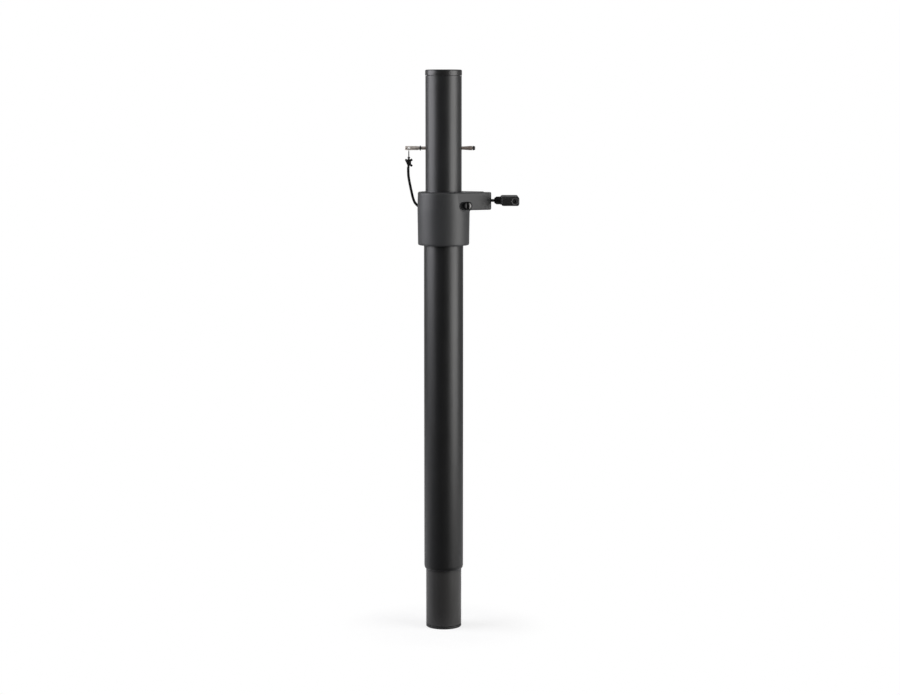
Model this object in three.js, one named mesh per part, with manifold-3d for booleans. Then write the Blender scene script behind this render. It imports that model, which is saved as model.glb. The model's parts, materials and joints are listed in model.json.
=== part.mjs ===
// Telescoping speaker pole: a swaged lower tube with a round spigot foot, a sliding upper tube,
// a moulded collar with a screw brake, and a cross pin tied to the collar by a cord.
// Millimetres, +Z up. The origin is the centre of the foot cap's underside, +X points along the
// collar's arm to the clamp handle, and -Y is the side that the arm's slotted bolt head faces.

import * as THREE from 'three'
import { mergeVertices } from 'three/addons/utils/BufferGeometryUtils.js'
import Module from 'manifold-3d'

// Clearances and cutting
const seam = 0.3 // gap between two pieces that touch
const overrun = 6 // how far a cutting shape runs past the face that it opens
const weldDistance = 0.0001 // vertices closer than this are one

// Facets
const tubeSides = 48
const boltSides = 24
const wireSides = 8
const hexSides = 6
const roundSteps = 4
const bevelSteps = 3
const shoeArcSteps = 12
const ringSides = 32
const knotSides = 16
const knotRows = 10

// Upper tube, its cap, its foot bush and its cross holes
const mastRadius = 17.5
const mastWall = 1.2
const mastRise = 117 // top of the pole over the top of the collar
const topCapRim = 5.5
const topCapProud = 0.45
const topCapRounding = 1.2
const topCapPlug = 15
const topCapWall = 2
const footBushFlange = 2.5
const footBushPlug = 16
const footBushWall = 4
const footBushChamfer = 0.8
const mastRunningGap = 0.3
const pinDepth = 75 // pin's axis below the top of the pole
const pinHolePitch = 50.8
const pinHoleCount = 7

// Lower tube, its spigot and its foot cap
const tubeClearance = 0.35 // between the upper tube and the lower tube's bore
const outerTubeWall = 1.2
const shoulderStep = 1.75
const shoulderRise = 4
const spigotTop = 58.2
const footCapLid = 2.5
const footCapRounding = 1
const footCapPlug = 13
const footCapWall = 2

// Collar
const collarBottom = 376.5
const collarHeight = 51.5
const collarFootWall = 5.45
const collarWideWall = 5.95
const collarTopWall = 5.55
const collarRounding = 1.5
const collarLip = 2.2
const armLength = 20.7 // how far the arm stands out of the collar's widest round
const armHeight = 17.2
const armEndHalfWidth = 6.5
const armFlankInset = 0.2 // arm's flanks inside the collar's top edge, where they run into it
const armCornerRadius = 3.5
const armEdgeRounding = 1.5

// Brake shoe
const shoeThickness = 1.6
const shoeHalfAngle = THREE.MathUtils.degToRad(24)
const shoeHeight = 9.8
const shoeSill = 4.9 // lower tube's end below the shoe
const brakeTravel = 1.2

// Clamp screw, its nut and its T handle
const clampDrop = 8.4 // screw's axis below the top of the collar
const screwRadius = 2.5
const screwPilotRadius = 1.2
const screwPilotLength = 1.1
const neckWaist = 1.1
const neckTaper = 0.6
const neckLength = 2.9 // bare neck between the arm and the handle
const screwGrip = 15
const clampNutInset = 15 // nut's near face from the arm's end
const clampNutThickness = 4
const clampNutWidth = 8
const hubWall = 1
const hubNoseWall = 0.5
const hubNoseLength = 1.6 // narrow front of the hub's bore, round the screw's neck
const hubTaper = 2
const hubLength = 6.4
const barDepth = 17.3
const barThickness = 8.8
const barHalfLength = 23
const barRounding = 2
const barDishRadius = 3
const barDishDepth = 0.5
const barDishInset = 4.1
const barCoreRadius = 1.2
const barCoreDepth = 2.5

// Cross bolt through the arm, with its nut and the cord's eyelet on the far side
const boltSeat = 14.4 // from the arm's middle to the faces under the bolt's head and the eyelet
const boltWall = 0.5 // between the bolt's hole and the shoe's recess
const boltScrewGap = 0.4
const boltRadius = 1.7
const boltHeadRadius = 3.3
const boltHeadHeight = 2.4
const boltHeadRounding = 1.1
const boltSlotWidth = 1.6
const boltSlotDepth = 1.2
const boltPocketGap = 0.4
const boltPocketRun = 4.6
const boltEndProud = 0.8
const boltNutFlats = 6
const boltNutThickness = 2.8
const eyeletThickness = 0.8
const eyeletRadius = 3.8
const eyeletPocketGap = 1
const eyeletBarrelRadius = 1.9
const eyeletBarrelLength = 6
const eyeletBarrelDrop = 0.2
const eyeletBarrelStandoff = 0.9

// Set screws that hold the collar on the lower tube
const setScrewRise = 12
const setScrewRadius = 2.5
const setScrewSunk = 0.8
const setScrewSocket = 1.4
const setScrewSocketDepth = 2
const setScrewTurn = THREE.MathUtils.degToRad(60)

// Cross pin, its stop ring, tip, split ring and knot
const pinRadius = 1.6
const pinHoleGap = 0.35
const pinHeadStandoff = 5.9
const pinHeadLength = 13.8
const pinHeadStep = 0.35
const pinHeadRounding = 0.8
const pinGrooveWidth = 2
const pinGrooveDepth = 0.4
const pinFlareStandoff = 1.5
const pinFlareLength = 6.8
const pinFlareStep = 0.45
const pinRim = 1.8
const pinSpigotRadius = 1
const pinSpigotLength = 1.6
const tipLength = 2.6
const tipEndRadius = 1.5
const stopRingProud = 0.35
const ringInset = 3.7
const ringRadius = 4.7
const ringWire = 0.5
const ringRise = 0.15
const ringHoleGap = 0.55
const knotOffset = 0.4
const knotDrop = 0.35
const knotHeight = 7.7
const knotHalfWidth = 2.9
const knotHalfDepth = 2.5
const knotTailRadius = 1.15
const knotTailShares = [
  [-1, 0.5],
  [1, 0.65],
  [1, -0.75],
]

// Cord between the collar and the pin
const cordRadius = 1.25
const cordStep = 5.5

// The cord's lower stretch runs from the eyelet round the back of the collar to its left side
const lowerRoute = [
  [23.4, 16.4, 404.7],
  [23.3, 16.7, 403],
  [22.6, 17.7, 401.2],
  [20.9, 19.4, 399.7],
  [17.9, 21.6, 398.8],
  [13.6, 23.8, 398.4],
  [8, 25.9, 398.5],
  [1.6, 27, 399.1],
  [-4.9, 26.6, 400.4],
  [-10.7, 24.8, 402.7],
  [-15.6, 22, 405.7],
  [-19.5, 18.7, 408.8],
  [-22.4, 15.1, 411.4],
  [-24.5, 11.6, 413.4],
  [-26.1, 8.6, 415],
  [-27.3, 6.4, 416.5],
  [-28.3, 4.7, 418.2],
  [-29.1, 3.4, 420.2],
]

// Its upper stretch rises from there to the knot under the split ring
const upperRoute = [
  [-29.25, 3.15, 420.6],
  [-29.75, 2.5, 422.4],
  [-30.25, 2, 424.4],
  [-30.7, 1.65, 426.5],
  [-31.15, 1.35, 428.6],
  [-31.6, 1.1, 430.7],
  [-32.05, 0.9, 432.8],
  [-32.5, 0.7, 435],
  [-32.95, 0.55, 437.3],
  [-33.35, 0.4, 439.6],
  [-33.7, 0.3, 441.9],
  [-33.95, 0.2, 444.2],
  [-34.08, 0.1, 446.5],
  [-34.12, 0.05, 449.2],
  [-34.05, 0, 451.9],
]

// Tubes
const mastInner = mastRadius - mastWall
const mastPlug = mastInner - seam
const outerTubeInner = mastRadius + tubeClearance
const outerTubeRadius = outerTubeInner + outerTubeWall
const spigotRadius = outerTubeRadius - shoulderStep
const spigotInner = spigotRadius - outerTubeWall
const spigotBottom = footCapLid + seam
const footBushBottom = spigotTop + shoulderRise + outerTubeWall + seam
const footBushTop = footBushBottom + footBushFlange
const collarTop = collarBottom + collarHeight
const poleHeight = collarTop + mastRise
const mastTop = poleHeight - topCapRim - seam

// Collar, from its bore outwards and from its top down
const collarBore = outerTubeRadius + seam
const collarFootRadius = collarBore + collarFootWall
const collarWideRadius = collarBore + collarWideWall
const collarTopRadius = collarBore + collarTopWall
const armReach = collarWideRadius + armLength
const armBottom = collarTop - armHeight
const lipBottom = collarTop - collarLip
const setScrewHeight = collarBottom + setScrewRise

// Brake and clamp
const clampHeight = collarTop - clampDrop
const shoeBottom = clampHeight - shoeHeight / 2
const outerTubeTop = shoeBottom - shoeSill
const bushBottom = outerTubeTop + seam
const bushTop = lipBottom - seam
const bushBore = mastRadius + mastRunningGap
const shoeBack = bushBore + shoeThickness
const shoeHalfWidth = shoeBack * Math.sin(shoeHalfAngle)
const shoeRecessDepth = shoeBack + brakeTravel + seam
const screwTip = shoeBack + seam
const neckRadius = screwRadius - neckWaist
const neckStart = armReach - neckTaper
const hubStart = armReach + neckLength
const hubBore = screwRadius + seam
const hubRadius = hubBore + hubWall
const hubNoseBore = neckRadius + seam
const hubNoseRadius = hubNoseBore + hubNoseWall
const barStart = hubStart + hubLength
const handleBore = hubStart + hubNoseLength
const screwEnd = handleBore + screwGrip
const clampNutStart = armReach - clampNutInset

// Cross bolt and eyelet
const boltReach = shoeRecessDepth + boltWall + seam + boltRadius
const boltHeight = clampHeight - screwRadius - boltScrewGap - boltRadius
const boltPocketRadius = boltHeadRadius + boltPocketGap
const eyeletPocketRadius = eyeletRadius + eyeletPocketGap
const eyeletStart = boltSeat + seam
const eyeletEnd = eyeletStart + eyeletThickness
const eyeletBarrelOffset = eyeletEnd + eyeletBarrelStandoff
const eyeletBarrelTop = boltHeight - eyeletRadius - eyeletBarrelDrop
const eyeletBarrelBottom = eyeletBarrelTop - eyeletBarrelLength
const boltNutStart = eyeletEnd + seam
const boltNutEnd = boltNutStart + boltNutThickness
const boltEnd = boltNutEnd + boltEndProud

// Pin, from the upper tube outwards, and what hangs on it
const pinHeight = poleHeight - pinDepth
const pinHeadRadius = pinRadius + pinHeadStep
const pinFlareRadius = pinRadius + pinFlareStep
const pinGrooveRadius = pinRadius - pinGrooveDepth
const pinHoleRadius = pinFlareRadius + pinHoleGap
const pinHeadStart = -mastRadius - pinHeadStandoff
const pinHeadEnd = pinHeadStart - pinHeadLength
const pinGrooveEnd = pinHeadStart + pinGrooveWidth
const pinFlareStart = mastRadius + pinFlareStandoff
const pinFlareEnd = pinFlareStart + pinFlareLength
const pinEnd = pinFlareEnd + pinRim
const stopRingRadius = pinHeadRadius + stopRingProud
const ringReach = pinHeadEnd + ringInset
const ringHeight = pinHeight + ringRise - ringRadius
const ringHoleRadius = ringWire + ringHoleGap
const knotReach = ringReach - knotOffset
const knotTop = ringHeight - ringRadius - ringWire - knotDrop
const knotMiddle = knotTop - knotHeight / 2

const wasm = await Module()
wasm.setup()

// A closed solid from a three.js geometry, ready to be joined or cut
function solid(geometry) {
  const bare = geometry.clone()
  bare.deleteAttribute('normal')
  bare.deleteAttribute('uv')
  const welded = mergeVertices(bare, weldDistance)
  const corners = welded.index.array
  const triVerts = []
  for (let i = 0; i < corners.length; i += 3) {
    const [a, b, c] = corners.subarray(i, i + 3)
    if (a !== b && b !== c && c !== a) triVerts.push(a, b, c)
  }
  const vertProperties = new Float32Array(welded.getAttribute('position').array)
  return new wasm.Manifold(new wasm.Mesh({ numProp: 3, vertProperties, triVerts: new Uint32Array(triVerts) }))
}

function geometryOf(body) {
  const { vertProperties, triVerts } = body.getMesh()
  const geometry = new THREE.BufferGeometry()
  geometry.setAttribute('position', new THREE.BufferAttribute(vertProperties, 3))
  geometry.setIndex(new THREE.BufferAttribute(triVerts, 1))
  geometry.computeVertexNormals()
  return geometry
}

function cut(body, tools) {
  return tools.reduce((left, tool) => left.subtract(tool), body)
}

// A solid turned about Z from [radius, height] points that go up the outside and down the inside
function turned(points, sides) {
  const profile = points.map(([radius, height]) => new THREE.Vector2(radius, height))
  if (profile[0].x > 0) profile.push(profile[0].clone())
  return new THREE.LatheGeometry(profile, sides).rotateX(Math.PI / 2)
}

function alongX(geometry) {
  return geometry.rotateY(Math.PI / 2)
}

function alongY(geometry) {
  return geometry.rotateX(-Math.PI / 2)
}

function rod(radius, from, to, sides = boltSides) {
  return turned([[0, from], [radius, from], [radius, to], [0, to]], sides)
}

// A plain ring: a tube from one height to another
function sleeve(outer, inner, from, to, sides = tubeSides) {
  return turned([[outer, from], [outer, to], [inner, to], [inner, from]], sides)
}

function block([xLow, xHigh], [yLow, yHigh], [zLow, zHigh]) {
  const box = new THREE.BoxGeometry(xHigh - xLow, yHigh - yLow, zHigh - zLow)
  return box.translate((xLow + xHigh) / 2, (yLow + yHigh) / 2, (zLow + zHigh) / 2)
}

// Points of a round edge about a centre, from one angle to another in quarter turns
function quarters(centreRadius, centreHeight, rounding, from, to) {
  const points = []
  for (let i = 0; i <= roundSteps; i += 1) {
    const angle = ((from + ((to - from) * i) / roundSteps) * Math.PI) / 2
    points.push([centreRadius + rounding * Math.cos(angle), centreHeight + rounding * Math.sin(angle)])
  }
  return points
}

// The tube's shoulder, where it was drawn down to the spigot: a quarter of an ellipse
function shoulder(inner, outer, bottom) {
  const points = []
  for (let i = 0; i <= roundSteps; i += 1) {
    const angle = (i / roundSteps) * (Math.PI / 2)
    const radius = inner + (outer - inner) * Math.sin(angle)
    points.push([radius, bottom + shoulderRise * (1 - Math.cos(angle))])
  }
  return points
}

function outerTube() {
  return turned(
    [
      [spigotRadius, spigotBottom],
      ...shoulder(spigotRadius, outerTubeRadius, spigotTop),
      [outerTubeRadius, outerTubeTop],
      [outerTubeInner, outerTubeTop],
      ...shoulder(spigotInner, outerTubeInner, spigotTop + outerTubeWall).reverse(),
      [spigotInner, spigotBottom],
    ],
    tubeSides,
  )
}

function footCap() {
  const plugRadius = spigotInner - seam
  const plugTop = footCapLid + footCapPlug
  return turned(
    [
      [0, 0],
      ...quarters(spigotRadius - footCapRounding, footCapRounding, footCapRounding, -1, 0),
      [spigotRadius, footCapLid],
      [plugRadius, footCapLid],
      [plugRadius, plugTop],
      [plugRadius - footCapWall, plugTop],
      [plugRadius - footCapWall, footCapLid],
      [0, footCapLid],
    ],
    tubeSides,
  )
}

function pinHole(height) {
  const reach = mastRadius + overrun
  return solid(alongX(rod(pinHoleRadius, -reach, reach, boltSides)).translate(0, 0, height))
}

function mastTube() {
  const holes = []
  for (let i = 0; i < pinHoleCount; i += 1) {
    holes.push(pinHole(pinHeight - i * pinHolePitch))
  }
  return geometryOf(cut(solid(sleeve(mastRadius, mastInner, footBushTop + seam, mastTop)), holes))
}

function topCap() {
  const rimRadius = mastRadius + topCapProud
  const rimBottom = poleHeight - topCapRim
  const plugBottom = rimBottom - topCapPlug
  const edge = quarters(rimRadius - topCapRounding, poleHeight - topCapRounding, topCapRounding, 0, 1)
  return turned(
    [
      [0, rimBottom],
      [mastPlug - topCapWall, rimBottom],
      [mastPlug - topCapWall, plugBottom],
      [mastPlug, plugBottom],
      [mastPlug, rimBottom],
      [rimRadius, rimBottom],
      ...edge,
      [0, poleHeight],
    ],
    tubeSides,
  )
}

function mastFootBush() {
  const flangeRadius = outerTubeInner - mastRunningGap
  const bore = mastPlug - footBushWall
  const plugTop = footBushTop + footBushPlug
  return turned(
    [
      [bore, footBushBottom],
      [flangeRadius - footBushChamfer, footBushBottom],
      [flangeRadius, footBushBottom + footBushChamfer],
      [flangeRadius, footBushTop],
      [mastPlug, footBushTop],
      [mastPlug, plugTop],
      [bore, plugTop],
    ],
    tubeSides,
  )
}

// The collar's round body, before it is bored
function collarBody() {
  const footCentre = collarFootRadius - collarRounding
  const topCentre = collarTopRadius - collarRounding
  return solid(
    turned(
      [
        [0, collarBottom],
        ...quarters(footCentre, collarBottom + collarRounding, collarRounding, -1, 0),
        [collarWideRadius, armBottom],
        ...quarters(topCentre, collarTop - collarRounding, collarRounding, 0, 1),
        [0, collarTop],
      ],
      tubeSides,
    ),
  )
}

// The arm, whose flanks leave the collar's round wall as tangents and close in to the arm's end
function arm() {
  const flankRadius = collarTopRadius - armFlankInset
  const spread = Math.atan2(armEndHalfWidth, armReach)
  const tilt = Math.asin(flankRadius / Math.hypot(armReach, armEndHalfWidth)) - spread
  const inset = flankRadius - armEdgeRounding
  const corner = armCornerRadius - armEdgeRounding
  const cornerReach = armReach - armEdgeRounding - corner
  const cornerOffset = (inset - corner - cornerReach * Math.sin(tilt)) / Math.cos(tilt)
  const plan = new THREE.Shape()
  plan.absarc(cornerReach, -cornerOffset, corner, tilt - Math.PI / 2, 0)
  plan.absarc(cornerReach, cornerOffset, corner, 0, Math.PI / 2 - tilt)
  plan.lineTo(inset * Math.sin(tilt), inset * Math.cos(tilt))
  plan.lineTo(inset * Math.sin(tilt), -inset * Math.cos(tilt))
  const body = new THREE.ExtrudeGeometry(plan, {
    depth: armHeight - 2 * armEdgeRounding,
    curveSegments: roundSteps,
    bevelSize: armEdgeRounding,
    bevelThickness: armEdgeRounding,
    bevelSegments: bevelSteps,
  })
  return solid(body.translate(0, 0, armBottom + armEdgeRounding))
}

// The space that the brake shoe needs in the guide bush and in the collar behind it
function shoeRecess() {
  const halfWidth = shoeHalfWidth + seam
  const heights = [shoeBottom - seam, shoeBottom + shoeHeight + seam]
  return solid(block([0, shoeRecessDepth], [-halfWidth, halfWidth], heights))
}

// The slot that the square nut is pushed into, open on the arm's underside
function nutSlot() {
  const halfWidth = clampNutWidth / 2 + seam
  const across = [clampNutStart - seam, clampNutStart + clampNutThickness + seam]
  return solid(block(across, [-halfWidth, halfWidth], [armBottom - overrun, clampHeight + halfWidth]))
}

// The pocket for the bolt's head, run out sideways through the collar's round wall
function boltPocket() {
  const far = -boltSeat - collarWideRadius
  const round = alongY(rod(boltPocketRadius, far, -boltSeat)).translate(boltReach, 0, boltHeight)
  const left = round.clone().translate(-boltPocketRun, 0, 0)
  const low = boltHeight - boltPocketRadius
  const high = boltHeight + boltPocketRadius
  const between = block([boltReach - boltPocketRun, boltReach], [far, -boltSeat], [low, high])
  return solid(round).add(solid(left)).add(solid(between))
}

// The pocket on the far side, open downwards for the eyelet's barrel
function eyeletPocket() {
  const far = boltSeat + collarWideRadius
  const round = alongY(rod(eyeletPocketRadius, boltSeat, far)).translate(boltReach, 0, boltHeight)
  const half = eyeletBarrelRadius + seam
  const channel = block(
    [boltReach - half, boltReach + half],
    [boltSeat, far],
    [eyeletBarrelBottom, boltHeight],
  )
  return solid(round).add(solid(channel))
}

function setScrewHole(turn) {
  const hole = rod(setScrewRadius + seam, outerTubeInner, collarWideRadius + overrun)
  return solid(alongX(hole).rotateZ(turn).translate(0, 0, setScrewHeight))
}

const setScrewTurns = { right: setScrewTurn, left: Math.PI - setScrewTurn }

function collarHousing() {
  const screwHole = alongX(rod(screwRadius + seam, bushBore, armReach + overrun))
  const boltHole = alongY(rod(boltRadius + seam, -collarWideRadius, collarWideRadius))
  return geometryOf(
    cut(collarBody().add(arm()), [
      solid(rod(collarBore, collarBottom - overrun, lipBottom, tubeSides)),
      solid(rod(bushBore, lipBottom - overrun, collarTop + overrun, tubeSides)),
      shoeRecess(),
      solid(screwHole.translate(0, 0, clampHeight)),
      solid(boltHole.translate(boltReach, 0, boltHeight)),
      nutSlot(),
      boltPocket(),
      eyeletPocket(),
      ...Object.values(setScrewTurns).map(setScrewHole),
    ]),
  )
}

function guideBush() {
  return geometryOf(solid(sleeve(outerTubeRadius, bushBore, bushBottom, bushTop)).subtract(shoeRecess()))
}

// A curved plate against the upper tube, with a blind hole in its back for the screw's pilot
function brakeShoe() {
  const section = new THREE.Shape()
  section.absarc(0, 0, shoeBack, -shoeHalfAngle, shoeHalfAngle, false)
  section.absarc(0, 0, bushBore, shoeHalfAngle, -shoeHalfAngle, true)
  const plate = new THREE.ExtrudeGeometry(section, {
    depth: shoeHeight,
    curveSegments: shoeArcSteps,
    bevelEnabled: false,
  })
  const holeBottom = shoeBack - screwPilotLength
  const hole = alongX(rod(screwPilotRadius + seam, holeBottom, shoeBack + overrun))
  return geometryOf(
    solid(plate.translate(0, 0, shoeBottom)).subtract(solid(hole.translate(0, 0, clampHeight))),
  )
}

function clampScrew() {
  const pilotTip = screwTip - screwPilotLength
  return alongX(
    turned(
      [
        [0, pilotTip],
        [screwPilotRadius, pilotTip],
        [screwPilotRadius, screwTip],
        [screwRadius, screwTip],
        [screwRadius, neckStart],
        [neckRadius, neckStart + neckTaper],
        [neckRadius, handleBore],
        [screwRadius, handleBore],
        [screwRadius, screwEnd],
        [0, screwEnd],
      ],
      boltSides,
    ),
  ).translate(0, 0, clampHeight)
}

function clampNut() {
  const half = clampNutWidth / 2
  const across = [clampNutStart, clampNutStart + clampNutThickness]
  const nut = solid(block(across, [-half, half], [clampHeight - half, clampHeight + half]))
  const bore = alongX(rod(screwRadius + seam, clampNutStart - overrun, armReach))
  return geometryOf(nut.subtract(solid(bore.translate(0, 0, clampHeight))))
}

// The handle's bar: a rounded section in X and Z, run along Y
function handleBar() {
  const inset = barRounding
  const halfDepth = barDepth / 2 - inset
  const halfThickness = barThickness / 2 - inset
  const section = new THREE.Shape()
  section.moveTo(-halfDepth, -halfThickness)
  section.lineTo(halfDepth, -halfThickness)
  section.lineTo(halfDepth, halfThickness)
  section.lineTo(-halfDepth, halfThickness)
  const bar = new THREE.ExtrudeGeometry(section, {
    depth: 2 * (barHalfLength - barRounding),
    bevelSize: barRounding,
    bevelThickness: barRounding,
    bevelSegments: bevelSteps,
  })
  bar.translate(0, 0, barRounding - barHalfLength).rotateX(Math.PI / 2)
  return solid(bar.translate(barStart + barDepth / 2, 0, clampHeight))
}

function tHandle() {
  const hub = alongX(
    turned(
      [
        [0, hubStart],
        [hubNoseRadius, hubStart],
        [hubRadius, hubStart + hubTaper],
        [hubRadius, barStart + barRounding],
        [0, barStart + barRounding],
      ],
      boltSides,
    ),
  )
  const boreStart = handleBore - seam
  const bore = alongX(
    turned(
      [
        [0, hubStart - overrun],
        [hubNoseBore, hubStart - overrun],
        [hubNoseBore, boreStart],
        [hubBore, boreStart],
        [hubBore, screwEnd + seam],
        [0, screwEnd + seam],
      ],
      boltSides,
    ),
  )
  const dishReach = barStart + barDepth - barDishInset
  const dishes = [-1, 1].flatMap((side) => {
    const end = side * barHalfLength
    const tools = [[barDishRadius, barDishDepth], [barCoreRadius, barCoreDepth]]
    return tools.map(([radius, depth]) => {
      const span = [end - side * depth, end + side * overrun].sort((a, b) => a - b)
      return solid(alongY(rod(radius, ...span)).translate(dishReach, 0, clampHeight))
    })
  })
  const body = handleBar().add(solid(hub.translate(0, 0, clampHeight)))
  return geometryOf(cut(body, [solid(bore.translate(0, 0, clampHeight)), ...dishes]))
}

function crossBolt() {
  const seat = -boltSeat - seam
  const headTop = seat - boltHeadHeight
  const bolt = alongY(
    turned(
      [
        [0, headTop],
        ...quarters(boltHeadRadius - boltHeadRounding, headTop + boltHeadRounding, boltHeadRounding, -1, 0),
        [boltHeadRadius, seat],
        [boltRadius, seat],
        [boltRadius, boltEnd],
        [0, boltEnd],
      ],
      boltSides,
    ),
  )
  const slot = block(
    [-boltSlotWidth / 2, boltSlotWidth / 2],
    [headTop - overrun, headTop + boltSlotDepth],
    [-boltHeadRadius - overrun, boltHeadRadius + overrun],
  )
  return geometryOf(solid(bolt).subtract(solid(slot)).translate([boltReach, 0, boltHeight]))
}

function crossNut() {
  const corner = boltNutFlats / 2 / Math.cos(Math.PI / hexSides)
  const nut = alongY(rod(corner, boltNutStart, boltNutEnd, hexSides))
  const bore = alongY(rod(boltRadius + seam, boltNutStart - overrun, boltNutEnd + overrun))
  return geometryOf(solid(nut).subtract(solid(bore)).translate([boltReach, 0, boltHeight]))
}

// A flat ring under the nut with a barrel that points down and grips the cord's end
function tetherEyelet() {
  const ring = alongY(rod(eyeletRadius, eyeletStart, eyeletEnd)).translate(boltReach, 0, boltHeight)
  const hole = alongY(rod(boltRadius + seam, eyeletStart - overrun, eyeletEnd + overrun))
  const tail = block(
    [boltReach - eyeletBarrelRadius, boltReach + eyeletBarrelRadius],
    [eyeletStart, eyeletEnd],
    [eyeletBarrelTop - eyeletBarrelLength / 2, boltHeight - boltRadius - seam],
  )
  const barrel = rod(eyeletBarrelRadius, eyeletBarrelBottom, eyeletBarrelTop)
  const body = solid(ring)
    .add(solid(tail))
    .add(solid(barrel.translate(boltReach, eyeletBarrelOffset, 0)))
  return geometryOf(body.subtract(solid(hole.translate(boltReach, 0, boltHeight))))
}

function setScrew(turn) {
  const outer = collarFootRadius - setScrewSunk
  const body = rod(setScrewRadius, outerTubeRadius + seam, outer)
  const socket = rod(setScrewSocket, outer - setScrewSocketDepth, outer + overrun, hexSides)
  const screw = solid(alongX(body)).subtract(solid(alongX(socket)))
  return geometryOf(screw).rotateZ(turn).translate(0, 0, setScrewHeight)
}

function safetyPin() {
  const pin = alongX(
    turned(
      [
        [0, pinHeadEnd],
        ...quarters(pinHeadRadius - pinHeadRounding, pinHeadEnd + pinHeadRounding, pinHeadRounding, -1, 0),
        [pinHeadRadius, pinHeadStart],
        [pinGrooveRadius, pinHeadStart],
        [pinGrooveRadius, pinGrooveEnd],
        [pinRadius, pinGrooveEnd],
        [pinRadius, pinFlareStart],
        [pinFlareRadius, pinFlareEnd],
        [pinFlareRadius, pinEnd],
        [pinSpigotRadius, pinEnd],
        [pinSpigotRadius, pinEnd + pinSpigotLength],
        [0, pinEnd + pinSpigotLength],
      ],
      boltSides,
    ),
  )
  const reach = pinHeadRadius + overrun
  const hole = alongY(rod(ringHoleRadius, -reach, reach)).translate(ringReach, 0, 0)
  return geometryOf(solid(pin).subtract(solid(hole))).translate(0, 0, pinHeight)
}

function pinTipCap() {
  const start = pinEnd + seam
  const end = start + tipLength
  const boreEnd = pinEnd + pinSpigotLength + seam
  return alongX(
    turned(
      [
        [pinSpigotRadius + seam, start],
        [pinFlareRadius, start],
        [tipEndRadius, end],
        [0, end],
        [0, boreEnd],
        [pinSpigotRadius + seam, boreEnd],
      ],
      boltSides,
    ),
  ).translate(0, 0, pinHeight)
}

function pinStopRing() {
  const start = pinHeadStart + seam
  const end = pinGrooveEnd - seam
  const ring = sleeve(stopRingRadius, pinGrooveRadius + seam, start, end, boltSides)
  return alongX(ring).translate(0, 0, pinHeight)
}

function splitRing() {
  const ring = new THREE.TorusGeometry(ringRadius, ringWire, wireSides, ringSides)
  return ring.rotateY(Math.PI / 2).translate(ringReach, 0, ringHeight)
}

// The cord's knot: a round body with its loop and two short tails
function tetherKnot() {
  const up = new THREE.Vector3(0, 0, 1)
  const ball = new THREE.SphereGeometry(1, knotSides, knotRows)
  ball.scale(knotHalfWidth, knotHalfDepth, knotHeight / 2)
  const body = knotTailShares.reduce((joined, [sideShare, riseShare]) => {
    const way = new THREE.Vector3(sideShare, 0, riseShare).normalize()
    const tail = rod(knotTailRadius, 0, knotHalfWidth + knotTailRadius, wireSides)
    tail.applyQuaternion(new THREE.Quaternion().setFromUnitVectors(up, way))
    return joined.add(solid(tail))
  }, solid(ball))
  return geometryOf(body.translate([knotReach, 0, knotMiddle]))
}

function cord(route) {
  const path = new THREE.CatmullRomCurve3(route.map((point) => new THREE.Vector3(...point)))
  const section = new THREE.Shape()
  for (let i = 0; i < wireSides; i += 1) {
    const angle = (2 * Math.PI * i) / wireSides
    const corner = [cordRadius * Math.cos(angle), cordRadius * Math.sin(angle)]
    if (i === 0) section.moveTo(...corner)
    else section.lineTo(...corner)
  }
  const steps = Math.ceil(path.getLength() / cordStep)
  return new THREE.ExtrudeGeometry(section, { extrudePath: path, steps, bevelEnabled: false })
}

const finishes = {
  blackPaint: { color: 0x2b2c30, roughness: 0.42, metalness: 0.1 },
  blackNylon: { color: 0x37383b, roughness: 0.6, metalness: 0 },
  blackRubber: { color: 0x1c1c1d, roughness: 0.8, metalness: 0 },
  naturalNylon: { color: 0xcfcac0, roughness: 0.5, metalness: 0 },
  zincSteel: { color: 0x8f8d88, roughness: 0.35, metalness: 0.9 },
  blackCord: { color: 0x111112, roughness: 0.85, metalness: 0 },
}

const speakerPole = new THREE.Group()

function place(name, geometry, finish) {
  const mesh = new THREE.Mesh(geometry, new THREE.MeshStandardMaterial(finishes[finish]))
  mesh.name = name
  speakerPole.add(mesh)
}

place('outer_tube', outerTube(), 'blackPaint')
place('foot_cap', footCap(), 'blackRubber')
place('mast_tube', mastTube(), 'blackPaint')
place('top_cap', topCap(), 'blackRubber')
place('mast_foot_bush', mastFootBush(), 'naturalNylon')
place('collar_housing', collarHousing(), 'blackNylon')
place('guide_bush', guideBush(), 'naturalNylon')
place('brake_shoe', brakeShoe(), 'naturalNylon')
place('clamp_screw', clampScrew(), 'zincSteel')
place('clamp_nut', clampNut(), 'zincSteel')
place('t_handle', tHandle(), 'blackNylon')
place('cross_bolt', crossBolt(), 'zincSteel')
place('cross_nut', crossNut(), 'zincSteel')
place('tether_eyelet', tetherEyelet(), 'zincSteel')
for (const [side, turn] of Object.entries(setScrewTurns)) {
  place(`collar_set_screw_${side}`, setScrew(turn), 'zincSteel')
}
place('safety_pin', safetyPin(), 'zincSteel')
place('pin_tip_cap', pinTipCap(), 'blackRubber')
place('pin_stop_ring', pinStopRing(), 'blackRubber')
place('split_ring', splitRing(), 'zincSteel')
place('tether_knot', tetherKnot(), 'blackCord')
place('tether_cord_lower', cord(lowerRoute), 'blackCord')
place('tether_cord_upper', cord(upperRoute), 'blackCord')

export default speakerPole
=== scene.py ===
import json
from math import asin, atan2, cos, pi, radians, sin, sqrt, tan, tau

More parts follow.
